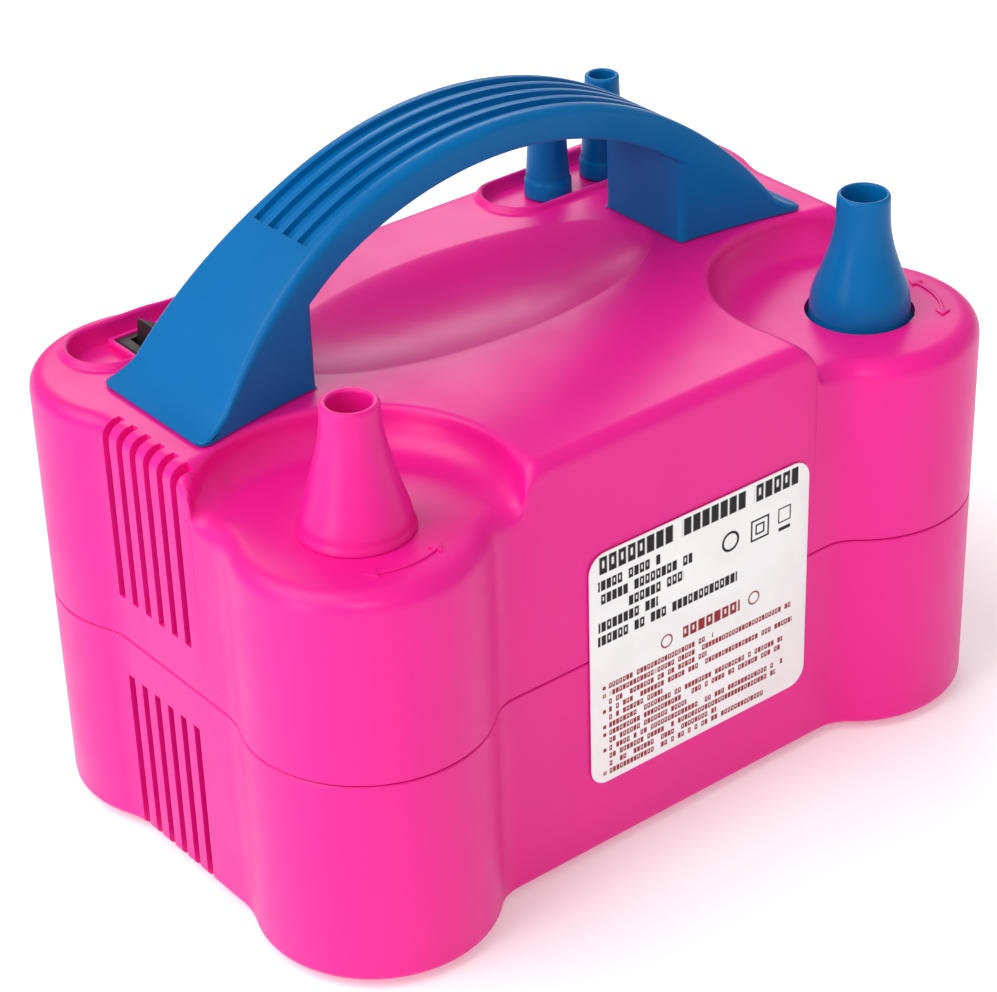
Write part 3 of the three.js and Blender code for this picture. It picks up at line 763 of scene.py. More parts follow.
def vent_cutters(sides, low, high):
    cutters = []
    for side in sides:
        for i in range(VENT["count"]):
            y = VENT["y"] + (i - (VENT["count"] - 1) / 2) * VENT["pitch"]
            x = sorted((side * VENT["floor"], side * (END_X + 6)))
            half = VENT["width"] / 2
            cutters.append(block("slot", (x[0], y - half, low), (x[1], y + half, high)))
    return cutters


cutters = vent_cutters([-1], SLOT_LOW, DECK_Z + 8)
cutters.append(drum("press_hole", POCKETS[1], PRESS_HOLE, BELOW, ABOVE, 96))
cutters.append(drum("spigot_hole", POCKETS[0], SPIGOT_HOLE, BELOW, ABOVE))
cutters.append(block("switch_hole", (SWITCH_X - SWITCH_HOLE[0], SWITCH_Y - SWITCH_HOLE[1], BELOW),
                     (SWITCH_X + SWITCH_HOLE[0], SWITCH_Y + SWITCH_HOLE[1], ABOVE)))
cut(shell, cutters)
smooth(tidy(shell, 0.000004), 32)
dress(shell, PINK, "case", "pink_plastic", "top_shell")
print("upper case faces", len(shell.data.polygons))

# %% [markdown]
# Two pegs stand in the right well to hold the spare nozzles, and a low collar stands round the
# switch. Both are small plain mouldings of the same pink plastic, with their edges broken.
# %% Pegs and switch collar
SPARES = [spot("spare_nozzle_1")[:2], spot("spare_nozzle_2")[:2]]


def peg(number, centre):
    low, high = STORE_FLOOR_Z - 0.4, STORE_FLOOR_Z + 9
    profile = [(0, low), (3.2, low), (3.0, low + 0.8), (2.8, low + 2), (2.75, high - 0.9),
               (2.45, high - 0.25), (1.9, high), (0, high)]
    piece = smooth(turn(f"spare_peg_{number}", profile, centre, 32), 50)
    return dress(piece, PINK, "case", "pink_plastic")


for number, centre in enumerate(SPARES, 1):
    peg(number, centre)


def rounded_box(name, centre, size, radius, low, high, steps=6):
    (x, y), (width, depth) = centre, size
    w, d = width / 2 - radius, depth / 2 - radius
    corners = [(x + w, y + d), (x - w, y + d), (x - w, y - d), (x + w, y - d)]
    loop = []
    for number, (a, b) in enumerate(corners):
        loop += arc(a, b, radius, 90 * number, 90 * number + 90, steps)
    return plate(name, loop, low, high)


collar = rounded_box("switch_collar", (SWITCH_X, SWITCH_Y), (24.4, 16.8), 1.6,
                     SWITCH_FLOOR_Z - 0.3, SWITCH_FLOOR_Z + 1.9)
cut(collar, [rounded_box("collar_hole", (SWITCH_X, SWITCH_Y), (21.5, 13.9), 0.8, 100, 120)])
smooth(bevel_sharp(collar, 0.5, 2, 50), 40)
dress(collar, PINK, "case", "pink_plastic")
print("pegs at", [tuple(round(c, 1) for c in s) for s in SPARES])

# %% [markdown]
# The lower half is a tub. Its outline is pulled up to the joint line, the bottom edge gets a
# 2 mm round, the rim a small chamfer, and the top face is set in by the wall and pushed down to
# hollow it. Slots are cut in both ends, at the left in line with those above, and the back has a
# hole for the cord.
# %% Lower case
def pick(piece, kind, test):
    """Selects what passes a test of its middle, in millimetres, and its direction."""
    edit(piece)
    bpy.ops.mesh.select_mode(type=kind)
    bpy.ops.mesh.select_all(action="DESELECT")
    done()
    points = piece.data.vertices
    if kind == "FACE":
        for face in piece.data.polygons:
            face.select = test(face.center / MM, face.normal)
    else:
        for edge in piece.data.edges:
            a, b = (points[i].co for i in edge.vertices)
            edge.select = test((a + b) / 2 / MM, (b - a).normalized())
    bpy.ops.object.mode_set(mode="EDIT")


TOP = PARTING_Z - SEAM
CORD = Vector(spot("cord_grommet"))
CASE_SCREWS = [spot(f"case_screw_{n}") for n in range(1, 5)]
tub = plate("lower_case", case_outline(), STAND, TOP)
pick(tub, "EDGE", lambda c, n: abs(c.z - STAND) < 0.1)
bpy.ops.mesh.bevel(offset=2 * MM, segments=5, affect="EDGES", clamp_overlap=False)
done()
pick(tub, "EDGE", lambda c, n: abs(c.z - TOP) < 0.1)
bpy.ops.mesh.bevel(offset=0.3 * MM, segments=1, affect="EDGES", clamp_overlap=False)
done()
pick(tub, "FACE", lambda c, n: n.z > 0.9 and c.z > TOP - 0.1)
bpy.ops.mesh.inset(thickness=(WALL - 0.3) * MM)
bpy.ops.mesh.extrude_region_move(
    TRANSFORM_OT_translate={"value": (0, 0, -(TOP - STAND - WALL) * MM)})
done()
cutters = vent_cutters([-1, 1], -5, SLOT_HIGH)
cutters += [drum("screw_well", s[:2], 3.4, -5, STAND + 30, 32) for s in CASE_SCREWS]
clear_selection()
bpy.ops.mesh.primitive_cylinder_add(vertices=48, radius=6.3 * MM, depth=20 * MM,
                                    location=(CORD.x * MM, BACK_Y * MM, CORD.z * MM),
                                    rotation=(math.pi / 2, 0, 0))
cutters.append(settle(named("cord_hole")))
cut(tub, cutters)
smooth(tidy(tub, 0.000004), 32)
dress(tub, PINK, "case", "pink_plastic", "bottom_shell")
print("lower case faces", len(tub.data.polygons))

# %% [markdown]
# The handle is an arch with two wide feet. Its shape changes along its length, so it is lofted
# through cross-sections: a plain four-sided section in the grip, and one that reaches down to
# the deck in the feet, where the sides flare towards a thin curled toe.
# %% Handle sections
GRIP = {"top_z": STAND + 60, "top_r": 104.0, "under_z": STAND + 62.5, "under_r": 93.2}
FOOT_IN, HEEL, TOE = 56.4, 85.0, 93.3
SOLE = DECK_Z + 0.3
HALF_WIDTH = 14.0


def top_of_handle(x):
    if x <= HEEL:
        return GRIP["top_z"] + math.sqrt(GRIP["top_r"] ** 2 - x * x)
    t = (TOE - x) / (TOE - HEEL)
    heel = GRIP["top_z"] + math.sqrt(GRIP["top_r"] ** 2 - HEEL ** 2)
    return SOLE + 0.8 + (heel - SOLE - 0.8) * (0.25 * t + 0.75 * t * t)


def under_handle(x):
    return GRIP["under_z"] + math.sqrt(GRIP["under_r"] ** 2 - x * x)


TOE_CORNER = 3.4


def half_width(x):
    """Half the width of the handle, flared towards the toe and rounded at the toe's corners."""
    flare = max(0.0, (x - 46) / (TOE - 46))
    past = max(0.0, x - (TOE - TOE_CORNER))
    corner = TOE_CORNER - math.sqrt(max(0.0, TOE_CORNER ** 2 - past ** 2))
    return HALF_WIDTH + 7.3 * (0.55 * flare ** 1.2 + 0.45 * flare ** 2.2) - 0.94 * corner


MID_SHARE = (under_handle(FOOT_IN) - SOLE) / (top_of_handle(FOOT_IN) - SOLE)
GRIP_X = list(np.linspace(0, FOOT_IN, 19))
FOOT_X = list(np.linspace(FOOT_IN, HEEL, 10))[1:] + [86.5, 88, 89.9, 91, 92, 92.8, TOE]


def arch_points():
    """Right-hand sections from the middle to the toe: top, middle and sole lines of one side."""
    for x in GRIP_X:
        yield x, [top_of_handle(x), under_handle(x)]
    for x in [FOOT_IN, *FOOT_X]:
        top = top_of_handle(x)
        yield x, [top, SOLE + MID_SHARE * (top - SOLE), SOLE]


def handle_blank():
    sections = list(arch_points())
    left = [(-x, levels) for x, levels in reversed(sections[1:])]
    points, faces, before = [], [], None
    for x, levels in left + sections:
        start = len(points)
        half = half_width(abs(x))
        points += [(x, HANDLE_Y - half, z) for z in levels]
        points += [(x, HANDLE_Y + half, z) for z in reversed(levels)]
        now = list(range(start, len(points)))
        if before is None or x == TOE:
            faces.append(list(now))
        if before is not None and len(before) == len(now):
            count = len(now)
            faces += [[before[i - 1], now[i - 1], now[i], before[i]] for i in range(count)]
        elif before is not None:
            foot = before if len(before) == 6 else now
            faces.append([foot[1], foot[2], foot[3], foot[4]])
        before = now
    return tidy(mesh_of("handle_arch", points, faces))


handle = handle_blank()
print("handle faces", len(handle.data.polygons))

# %% [markdown]
# A weighted bevel rounds each kind of edge by its own amount: generous along the top where the
# hand lies and down the corners of the feet, small under the grip, and nearly nothing at the
# thin toe and the sole, where the moulding sits flat on the deck.
# %% Rounded edges of the handle
ROUND = 2.3


def weight_of(a, b, normals):
    middle = (a + b) / 2 / MM
    along = (b - a).normalized()
    x = abs(middle.x)
    if len(normals) < 2 or normals[0].dot(normals[1]) > 0.75:
        return 0.0
    taper = max(0.06, min(1.0, (TOE - 1 - x) / 9))
    if abs(along.z) > 0.9:
        return 1.0 * taper
    if middle.z < SOLE + 0.1 or x > TOE - 0.1:
        return 0.06
    if max(n.z for n in normals) > 0.3 and abs(along.y) < 0.9:
        return taper
    return 0.4 if abs(along.y) < 0.9 else 0.25


def weigh_edges(piece, weight):
    sides = {}
    for face in piece.data.polygons:
        for key in face.edge_keys:
            sides.setdefault(key, []).append(face.normal)
    layer = piece.data.attributes.new("bevel_weight_edge", "FLOAT", "EDGE")
    points = piece.data.vertices
    for edge in piece.data.edges:
        a, b = (points[i].co for i in edge.vertices)
        layer.data[edge.index].value = weight(a, b, sides[edge.key])


weigh_edges(handle, weight_of)
apply(handle, "BEVEL", width=ROUND * MM, segments=5, limit_method="WEIGHT", use_clamp_overlap=False)
handle.data.attributes.remove(handle.data.attributes["bevel_weight_edge"])
tidy(handle)
print("handle faces", len(handle.data.polygons))

# %% [markdown]
# Four grooves run over the grip so that a wet hand doesn't slip, and a channel underneath takes
# the cover strip that closes the arch. Both follow the arch, so each cutter is a bar bent to
# the same centre. A last fine bevel breaks the edges that the cutting left sharp.
# %% Grooves and channel
def bent_bar(name, centre_z, radii, reach, sides, steps=40):
    """A bar along an arch about the case's middle plane, between two radii and two Y values."""
    (inner, outer), (front, back) = radii, sides
    swing = math.degrees(math.asin(reach / outer))
    points, faces, before = [], [], None
    for angle in np.radians(np.linspace(90 + swing, 90 - swing, steps + 1)):
        start = len(points)
        for radius, y in ((inner, front), (outer, front), (outer, back), (inner, back)):
            points.append((radius * math.cos(angle), y, centre_z + radius * math.sin(angle)))
        now = list(range(start, start + 4))
        if before is None:
            faces.append(now)
        else:
            faces += [[before[i - 1], now[i - 1], now[i], before[i]] for i in range(4)]
        before = now
    faces.append(before)
    return tidy(mesh_of(name, points, faces))


GROOVE_PITCH, GROOVE_HALF, GROOVE_DEEP, GROOVE_REACH = 5.7, 1.85, 1.5, 56
CHANNEL_HALF, CHANNEL_DEEP, CHANNEL_REACH = 10.5, 4.5, 50
cutters = []
for n in (-1.5, -0.5, 0.5, 1.5):
    y = HANDLE_Y + n * GROOVE_PITCH
    cutters.append(bent_bar("groove", GRIP["top_z"],
                            (GRIP["top_r"] - GROOVE_DEEP, GRIP["top_r"] + 3), GROOVE_REACH,
                            (y - GROOVE_HALF, y + GROOVE_HALF)))
cutters.append(bent_bar("channel", GRIP["under_z"],
                        (GRIP["under_r"] - 6, GRIP["under_r"] + CHANNEL_DEEP), CHANNEL_REACH,
                        (HANDLE_Y - CHANNEL_HALF, HANDLE_Y + CHANNEL_HALF)))
cut(handle, cutters)
tidy(handle, 0.000004)
bevel_sharp(handle, 0.3, 2, 52)
smooth(handle, 38)
dress(handle, BLUE, "case", "blue_plastic", "handle")
strip = bent_bar("handle_cover", GRIP["under_z"], (GRIP["under_r"], GRIP["under_r"] + 2.4), 48,
                 (HANDLE_Y - 10.2, HANDLE_Y + 10.2), 48)
smooth(bevel_sharp(strip, 0.5, 2, 50), 38)
dress(strip, BLUE, "case", "blue_plastic", "handle_underside")
print("handle faces", len(handle.data.polygons), "cover faces", len(strip.data.polygons))

# %% [markdown]
# The nozzles are turned shapes: a short drum at the foot, a bell, a long neck that tapers to fit
# the mouth of a balloon, and a rounded lip. A few measured radii are joined by a smooth line and
# spun. Below the deck each goes on as a spigot with a flange.
# %% Air nozzles
FLANGE_Z = STAND + 99.6


def air_nozzle(name, centre, foot, bell, lip, bore):
    """foot and bell list (radius, height) from the floor of the pocket up to the lip."""
    top = bell[-1][1]
    rise = [*foot, *flow(bell, 5)]
    mouth = arc(lip - 0.9, top, 0.9, 0, 90, 4)[1:] + arc(bore + 0.7, top + 0.2, 0.7, 90, 180, 3)
    inner = [(bore, top - 8), (8.2, bell[0][1] + 8), (9.9, bell[0][1]), (9.9, FLANGE_Z - 2.6)]
    spigot = [(11.3, FLANGE_Z - 2.6), (11.3, FLANGE_Z), (15.5, FLANGE_Z), (15.5, FLANGE_Z + 2.4),
              (11.3, FLANGE_Z + 2.4)]
    piece = turn(name, [*spigot, *rise, *mouth, *inner], centre, 96)
    return smooth(piece, 35)


base = POCKET_Z + 0.15
fixed = air_nozzle("nozzle_fixed", POCKETS[0],
                   [(11.3, base), (13.5, base), (13.5, base + 0.6), (13.1, base + 1.3)],
                   [(12.9, base + 1.9), (12.6, STAND + 109), (11.9, STAND + 111.5),
                    (10.35, STAND + 116.4), (8.65, STAND + 122.6), (7.3, STAND + 128.6),
                    (6.9, STAND + 132.5), (6.75, STAND + 135.8)], 6.75, 5.0)
dress(fixed, PINK, "case", "pink_plastic", "fixed_nozzle")
low = POCKET_Z - 1.5
press = air_nozzle("nozzle_press", POCKETS[1],
                   [(11.3, low), (12.3, low), (12.6, low + 0.4)],
                   [(12.6, STAND + 105), (12.55, STAND + 107.5), (12.2, STAND + 110),
                    (11.4, STAND + 112.8), (9.8, STAND + 117), (8.1, STAND + 122.2),
                    (7.1, STAND + 126.9), (6.75, STAND + 131), (6.6, STAND + 135.8)], 6.6, 5.4)
lug = block("press_lug", (LOBE_X + 3.3, -62, FLANGE_Z), (LOBE_X + 6.9, -54, FLANGE_Z + 2.2))
apply(press, "BOOLEAN", operation="UNION", object=lug, solver="EXACT")
bpy.data.objects.remove(lug)
smooth(press, 35)
dress(press, BLUE, "press_nozzle", "blue_plastic", "press_nozzle")
print("nozzle tops", [round(max(v.co.z for v in p.data.vertices) / MM, 1) for p in (fixed, press)])

# %% [markdown]
# A coil spring under the flange pushes the press nozzle up again. The wire's section is a small
# circle, and the Screw modifier winds it round the axis while it climbs.
# %% Return spring
STEPS_A_COIL = 40


def coil_spring(name, centre, low, high, radius, wire, coils):
    clear_selection()
    bpy.ops.mesh.primitive_circle_add(vertices=12, radius=wire * MM, fill_type="NOTHING",
                                      location=(radius * MM, 0, (low + wire) * MM),
                                      rotation=(math.pi / 2, 0, 0))
    spring = settle(named(name))
    steps = STEPS_A_COIL * coils
    apply(spring, "SCREW", axis="Z", angle=2 * math.pi * coils, steps=steps, render_steps=steps,
          screw_offset=(high - low - 2 * wire) * MM, use_normal_calculate=True)
    edit(spring)
    bpy.ops.mesh.fill_holes(sides=12)
    done()
    spring.data.transform(Matrix.Translation((centre[0] * MM, centre[1] * MM, 0)))
    return smooth(tidy(spring), 40)


spring_low, spring_high = (corner.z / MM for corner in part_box("press_spring"))
spring = coil_spring("nozzle_spring", POCKETS[1], spring_low, spring_high, 13.5, 0.65, 4)
dress(spring, STEEL, "case", "steel", "press_spring")
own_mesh(spring)
print("spring from", round(spring_low, 2), "to", round(spring_high, 2),
      "faces", len(spring.data.polygons))

# %% [markdown]
# The two spare nozzles are slimmer and nearly straight. Each has a thicker foot with a small
# step, a slow taper, and the same rounded lip.
# %% Spare nozzles
def spare_nozzle(number, centre):
    z = STORE_FLOOR_Z + 0.3
    taper = [(5.85, z + 5.1), (5.55, z + 9), (5.15, z + 15), (4.8, z + 21), (4.58, z + 27.1)]
    outside = [(6.0, z), (6.3, z + 0.3), (6.25, z + 4.3), (6.0, z + 4.75), *flow(taper, 4)]
    lip = arc(3.88, z + 27.5, 0.7, 0, 90, 4) + [(3.6, z + 28.15), (3.3, z + 27.8)]
    piece = turn(f"nozzle_spare_{number}", [(3.3, z), *outside, *lip], centre, 64)
    smooth(piece, 35)
    return dress(piece, BLUE, f"spare_nozzle_{number}", "blue_plastic", f"spare_nozzle_{number}")


for number, centre in enumerate(SPARES, 1):
    spare_nozzle(number, centre)

# %% [markdown]
# The rocker switch is a black frame with a see-saw button in it. The button is a bar with a
# shallow V across its top, so that one end stands up while the other lies flush. It is drawn
# level, its ends and long edges are rounded, and then it is tipped about its pivot to the
# position that the frame of the CAD model holds at rest.
# %% Rocker switch
BEZEL_Z, BEZEL = SWITCH_FLOOR_Z + 0.3, 1.4
PIVOT = Vector((SWITCH_X, SWITCH_Y, BEZEL_Z + BEZEL - 1.5))
REST_TILT = math.radians(15)
TIPPED = Matrix.Translation(PIVOT * MM) @ Matrix.Rotation(REST_TILT, 4, "Y")


def switch_frame():
    centre = (SWITCH_X, SWITCH_Y)
    rim = rounded_box("switch_frame", centre, (21, 13.4), 0.9, BEZEL_Z, BEZEL_Z + BEZEL)
    bevel_sharp(rim, 0.4, 3, 50)
    body = block("switch_body", (SWITCH_X - 9.2, SWITCH_Y - 5.4, STAND + 92),
                 (SWITCH_X + 9.2, SWITCH_Y + 5.4, BEZEL_Z + 1))
    apply(rim, "BOOLEAN", operation="UNION", object=body, solver="EXACT")
    bpy.data.objects.remove(body)
    cut(rim, [block("switch_room", (SWITCH_X - 7.7, SWITCH_Y - 4.5, STAND + 98),
                    (SWITCH_X + 7.7, SWITCH_Y + 4.5, 125))])
    return smooth(rim, 35)


def switch_button():
    crown = [(x, 3.3 + 1.8 * abs(x / 6.8) ** 1.25) for x in np.linspace(6.8, -6.8, 17)]
    side = [(5.6, -4), *crown, (-5.6, -4)]
    clear_selection()
    bpy.ops.mesh.primitive_circle_add(vertices=len(side), radius=1, fill_type="NGON")
    button = settle(named("switch_button"))
    for vertex, (x, z) in zip(button.data.vertices, side):
        vertex.co = (x * MM, -4.2 * MM, z * MM)
    edit(button)
    bpy.ops.mesh.extrude_region_move(TRANSFORM_OT_translate={"value": (0, 8.4 * MM, 0)})
    done()
    tidy(button)
    bevel_sharp(button, 0.45, 3, 50)
    button.data.transform(TIPPED)
    return smooth(button, 40)


dress(switch_frame(), BLACK, "case", "black_plastic", "rocker_frame")
dress(switch_button(), BLACK, "rocker", "black_plastic", "rocker_button")

# %% [markdown]
# The marks of the switch, a bar for on and a ring for off, are the plainest signs there are. They
# are thin white inserts set into the two ends of the button, a hair below its skin.
# %% Marks on the button
MARK = moulded("mark_ink", rgb(226, 226, 222), 0.5)


MARK_X, MARK_HEIGHT, MARK_LEAN = 4.0, 3.62, 0.28


def on_button(piece, side):
    """Lays a mark on one end of the button, then tips it with the button."""
    place = Matrix.Translation(Vector((side * MARK_X, 0, MARK_HEIGHT)) * MM)
    piece.data.transform(TIPPED @ place @ Matrix.Rotation(-side * MARK_LEAN, 4, "Y"))
    return dress(smooth(piece, 40), MARK, "rocker", "white_plastic")


ring_profile = [(0.95, 0), (1.35, 0), (1.35, 0.5), (1.3, 0.55), (1.0, 0.55), (0.95, 0.5)]
ring = on_button(turn("switch_mark_off", ring_profile, (0, 0), 32), 1)
bar = on_button(rounded_box("switch_mark_on", (0, 0), (0.45, 2.8), 0.18, 0, 0.55, 3), -1)
print("switch mark faces", len(ring.data.polygons), len(bar.data.polygons))

# %% [markdown]
# A raised arrow on the floor of each pocket curves round the nozzle. It is a thin plate that
# follows a circle: a bent shaft with a head at each end.
# %% Arrows in the pockets
def bent_arrow(name, centre, radius, start, end):
    """A double-headed arrow along an arc, as a raised line on the pocket floor."""
    (x, y), low, high = centre, POCKET_Z - 0.3, POCKET_Z + 0.45
    turn_by = 1 if end > start else -1
    head = turn_by * 8
    outer = [*arc(x, y, radius + 0.45, start + head, end - head, 16)]
    inner = [*arc(x, y, radius - 0.45, end - head, start + head, 16)]

    def at(r, angle):
        return (x + r * math.cos(math.radians(angle)), y + r * math.sin(math.radians(angle)))

    loop = [at(radius, start), at(radius + 1.9, start + head), *outer, at(radius + 1.9, end - head),
            at(radius, end), at(radius - 1.9, end - head), *inner, at(radius - 1.9, start + head)]
    piece = plate(name, loop, low, high)
    smooth(bevel_sharp(piece, 0.15, 2, 50), 40)
    return dress(piece, PINK, "case", "pink_plastic")


bent_arrow("pocket_arrow_left", POCKETS[0], 20.5, -122, -62)
bent_arrow("pocket_arrow_right", POCKETS[1], 20.5, -52, 8)

# %% [markdown]
# The rating label is a printed film, rounded at its corners, with a heading, a few lines of small
# print and a red block of advice. On this generic part the print is greeked: blocks stand for the
# letters, and they say nothing. The shader counts rows and columns of cells in the plane of the
# label, fills each cell with one block, leaves some cells blank as gaps between words, and gives
# some blocks a small hole, so that the print has the greyness of real print.
# %% Label
def label_paint():
    paint = Paint("label_print", Specular_IOR_Level=0.3)
    x, _, z = paint.axes()
    across = x / MM + 27.45
    height = z / MM - (STAND + 19.5)

    def inside_band(value, low, high, soft=0.08):
        above = paint.mask(value, low - soft, low + soft)
        return above * (1 - paint.mask(value, high - soft, high + soft))

    def rows_of_print(low, pitch, tall, wide, starts, ends, blank=0.15):
        """Rows from the lowest up. tall and wide size a letter; starts and ends lie across."""
        rise, column = (height - low) / pitch, across / wide
        row, letter = paint.maths("FLOOR", rise), paint.maths("FLOOR", column)
        level = (paint.maths("FRACT", rise) - 0.5) * (pitch / tall)
        beside = paint.maths("FRACT", column)
        cell = paint.node("ShaderNodeCombineXYZ", X=letter * 1.37, Y=row * 2.71 + low, Z=wide)
        chance = paint.node("ShaderNodeTexWhiteNoise", Vector=cell)
        bar = 1 - paint.mask(paint.maths("ABSOLUTE", level), 0.46, 0.54)
        block = inside_band(beside, 0.06, 0.88) * bar
        hole = inside_band(beside, 0.36, 0.58) * inside_band(level, -0.16, 0.26, 0.06)
        block = block * (1 - hole * paint.mask(chance, 0.6, 0.61))
        block = block * paint.mask(chance, blank, blank + 0.01)
        reach = inside_band(across - paint.pick(row, starts), 0, 200)
        reach = reach * (1 - paint.mask(across - paint.pick(row, ends), -0.05, 0.05))
        return block * reach * inside_band(rise, 0, len(starts), 0.02)

    def ring(cx, cz, radius, line):
        dx, dz = across - cx, height - cz
        away = paint.maths("SQRT", dx * dx + dz * dz)
        return inside_band(away, radius - line, radius)

    def square(cx, cz, half, line):
        dx = paint.maths("ABSOLUTE", across - cx)
        dz = paint.maths("ABSOLUTE", height - cz)
        return inside_band(paint.maths("MAXIMUM", dx, dz), half - line, half)

    heading = rows_of_print(59.3, 4.9, 4.7, 2.9, [2.8], [66.2], -1.0)
    for gap in (26.0, 49.2):
        heading = heading * (1 - inside_band(across, gap, gap + 2.6))
    facts = rows_of_print(39.2, 3.8, 2.7, 1.7,
                          [2.4, 2.6, 11.8, 2.6, 2.6], [46.5, 21.1, 29.1, 31.9, 21.8])
    caution = rows_of_print(30.2, 4.2, 3.2, 2.6, [29.1], [47.6], -1.0)
    ends = [56.1, 40.2, 60.1, 62.4, 30.3, 61.6, 62.2, 22.5, 65.3, 36.8, 64.7, 38.9]
    begins = [1, 0, 0, 1, 0, 1, 1, 0, 1, 0, 1, 1]
    advice = rows_of_print(1.6, 2.25, 1.5, 1.1, [5.6] * 12, ends, 0.17)
    bullets = rows_of_print(1.6, 2.25, 1.0, 1.2, [3.6] * 12, [4.8 * new for new in begins], -1.0)
    signs = square(53.8, 51.6, 3.0, 0.55) + square(53.8, 51.6, 1.5, 0.5)
    signs = signs + square(61.9, 52.4, 2.1, 0.4) + ring(44.2, 51.8, 2.8, 0.7)
    signs = signs + inside_band(across, 60.0, 63.9) * inside_band(height, 48.0, 49.0)
    rings = ring(23.9, 32.2, 1.9, 0.45) + ring(52.2, 32.4, 1.9, 0.45)
    paper = paint.mix(paint.mask(paint.noise(16, 3), 0.35, 0.7) * 0.5, rgb(250, 249, 248),
                      rgb(238, 237, 236))
    black = paint.maths("MINIMUM", heading + facts + signs, 1.0)
    red = paint.maths("MINIMUM", caution + advice + bullets + rings, 1.0)
    printed = paint.mix(black, paper, rgb(14, 12, 16))
    paint.set("Base Color", paint.mix(red, printed, rgb(150, 10, 34)))
    paint.set("Roughness", 0.36 + black * 0.12 + red * 0.12 + (paint.noise(5, 2) - 0.5) * 0.08)
    paint.bump(paint.noise(6, 2) + paint.noise(0.25, 1) * 0.15, 0.01)
    return paint


LABEL = label_paint()
low, high = (corner_point / MM for corner_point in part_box("label_plate"))
label = rounded_box("rating_label", ((low.x + high.x) / 2, (low.z + high.z) / 2),
                    (high.x - low.x, high.z - low.z), 5.0, 0, 0.34, 8)
bevel_sharp(label, 0.1, 2, 50)
stand_up = Matrix(((1, 0, 0), (0, 0, -1), (0, 1, 0))).to_4x4()
label.data.transform(Matrix.Translation((0, high.y * MM, 0)) @ stand_up)
tidy(label, 0.000004)
smooth(label, 35)
dress(label, LABEL, "case", "label_film", "label_plate")
print("label", [round(c, 1) for c in low], [round(c, 1) for c in high])

# %% [markdown]
# Four rubber feet plug into the bottom, and a rubber bush guards the hole where the mains cord
# leaves at the back. Rubber mouldings have soft round edges, and a shallow ring moulded into the
# sole of each foot works like a suction cup.
# %% Feet and cord bush
def foot(number):
    x, y, _ = spot(f"foot_{number}")
    profile = [(0, 0.5), (3.6, 0.5), (4.2, 0.35), (4.7, 0), *arc(7.2, 0.8, 0.8, -90, 0, 4),
               (7.95, 1.3), (7.7, 1.7), (3, 1.7), (3, 5.8), (2.4, 6.5), (0, 6.5)]
    piece = smooth(turn(f"rubber_foot_{number}", profile, (x, y), 48), 45)
    return dress(piece, RUBBER, "case", "rubber", f"foot_{number}")


for number in range(1, 5):
    foot(number)


def cord_bush():
    profile = [(3.5, -4.6), (3.7, -4.6), (7.3, -4.6), (7.5, -4.4), (7.5, -3.1), (7.3, -2.9),
               (6, -2.9), (6, 0.3), (7.8, 0.3), (8, 0.5), (7.9, 1.2), (7.3, 1.95), (6.8, 2.2),
               (4.0, 2.2), (3.5, 1.8)]
    piece = turn("cord_bush", profile, (0, 0), 48)
    place = Matrix.Translation(Vector((CORD.x, BACK_Y, CORD.z)) * MM)
    piece.data.transform(place @ Matrix.Rotation(-math.pi / 2, 4, "X"))
    tidy(piece)
    smooth(piece, 45)
    return dress(piece, RUBBER, "case", "rubber", "cord_grommet")


cord_bush()

# %% [markdown]
# What is left of the CAD model sits inside the case: blowers, motors, screws and small switch.
# Their shapes are right already, so each keeps its mesh and gets the finish of its material.
# %% Finishes for the inner pieces
INNER = {"pink_plastic": PINK, "blue_plastic": BLUE, "black_plastic": BLACK, "cream_plastic": CREAM,
         "white_plastic": WHITE, "rubber": RUBBER, "label_film": LABEL, "steel": STEEL,
         "laminations": CORE, "copper": COPPER, "brass": BRASS}
for part in frame["record"]["subparts"]:
    node = frame["nodes"][part["node"]]
    node.data.materials.clear()
    node.data.materials.append(INNER[part["material_slot"]].material)
print("inner pieces", sum(not n.hide_render for n in frame["nodes"].values()))

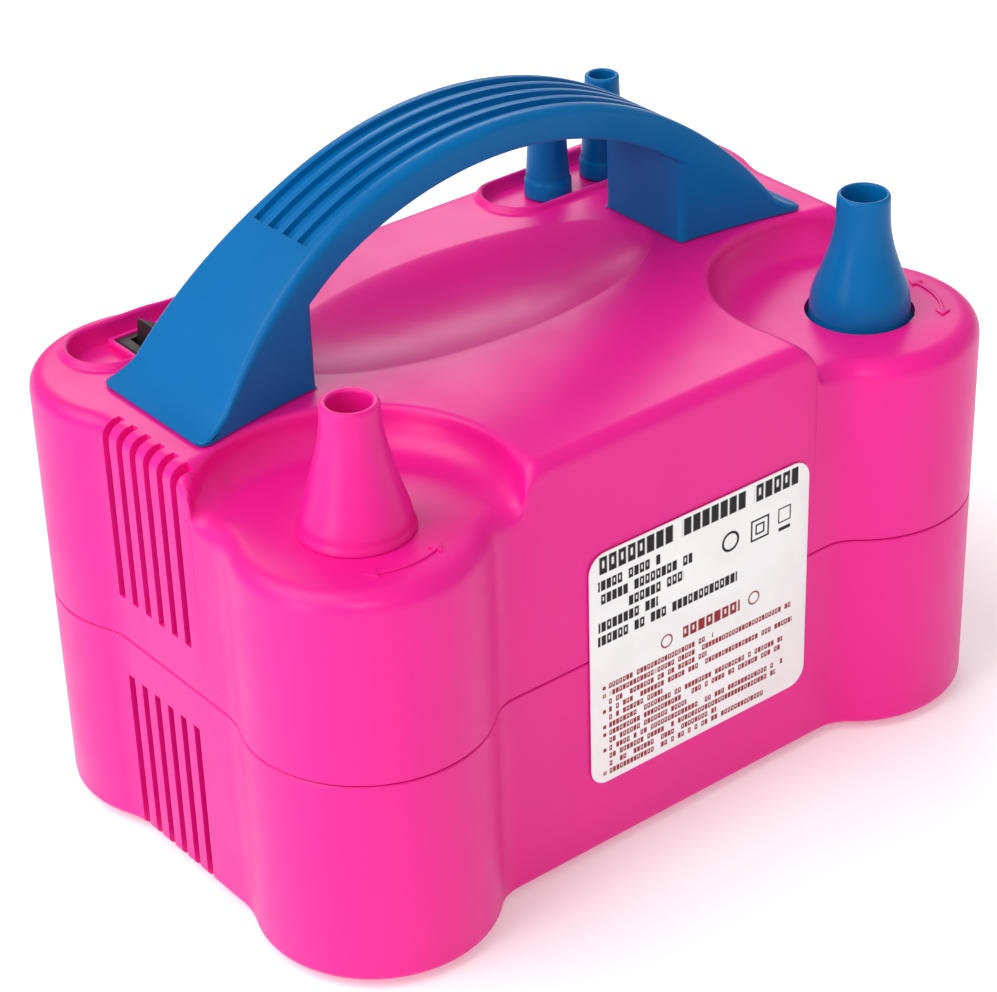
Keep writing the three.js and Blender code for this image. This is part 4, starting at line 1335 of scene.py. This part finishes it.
# %% [markdown]
# The studio is a wide pale floor under a pale surround, so that no horizon shows. A very broad
# sun stands in for a soft panel high on the left and gives faint soft shadows. A small panel in
# front picks out the rounded edges, and two more on the left and at the back light the sides.
# The floor glows a little of itself, as a lit table does, which keeps it white beside the case.
# %% Floor and light
clear_selection()
bpy.ops.mesh.primitive_plane_add(size=24, location=(0, 0, 0))
floor = named("studio_floor")
bpy.ops.object.mode_set(mode="EDIT")
bpy.ops.mesh.subdivide(number_cuts=3)
done()
FLOOR = Paint("studio_white", Roughness=0.7)
FLOOR.set("Base Color", FLOOR.mix(FLOOR.mask(FLOOR.noise(900, 2), 0.3, 0.7), rgb(254, 254, 254),
                                  rgb(251, 251, 252)))
FLOOR.set("Emission Color", (1.0, 1.0, 1.0, 1.0))
FLOOR.set("Emission Strength", 0.18)
floor.data.materials.append(FLOOR.material)
floor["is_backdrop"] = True


def light(kind, name, place, power, aim=(0.0, 0.0, 0.07)):
    clear_selection()
    bpy.ops.object.light_add(type=kind, location=place)
    lamp = bpy.context.object
    lamp.name = name
    lamp.data.energy = power
    lamp.rotation_euler = (Vector(aim) - Vector(place)).to_track_quat("-Z", "Y").to_euler()
    return lamp


def panel(name, place, size, power, aim=(0.0, 0.0, 0.07)):
    lamp = light("AREA", name, place, power, aim)
    lamp.data.shape = "RECTANGLE"
    lamp.data.size, lamp.data.size_y = size
    return lamp


sky = light("SUN", "broad_sky", (-0.85, 0.3, 1.3), 1.8)
sky.data.angle = math.radians(50)
panel("left_panel", (-1.35, -0.15, 0.35), (0.35, 0.7), 4)
panel("front_panel", (-0.8, -1.05, 1.0), (0.28, 0.28), 4)
panel("back_panel", (0.9, 1.3, 0.95), (1.0, 0.4), 6)
world = bpy.data.worlds.new("pale_surround")
world.use_nodes = True
world.node_tree.nodes["Background"].inputs["Color"].default_value = (1.0, 1.0, 1.0, 1.0)
world.node_tree.nodes["Background"].inputs["Strength"].default_value = 0.45
bpy.context.scene.world = world
bpy.context.scene.view_settings.view_transform = "Standard"

DRESSED_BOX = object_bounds()


def numbers(value):
    """Nested vectors as plain lists."""
    return [numbers(v) for v in value] if hasattr(value, "__len__") else float(value)


{"cad": numbers(CAD_BOX), "visual": numbers(DRESSED_BOX)}
print("CAD box", numbers(CAD_BOX))
print("dressed box", numbers(DRESSED_BOX))
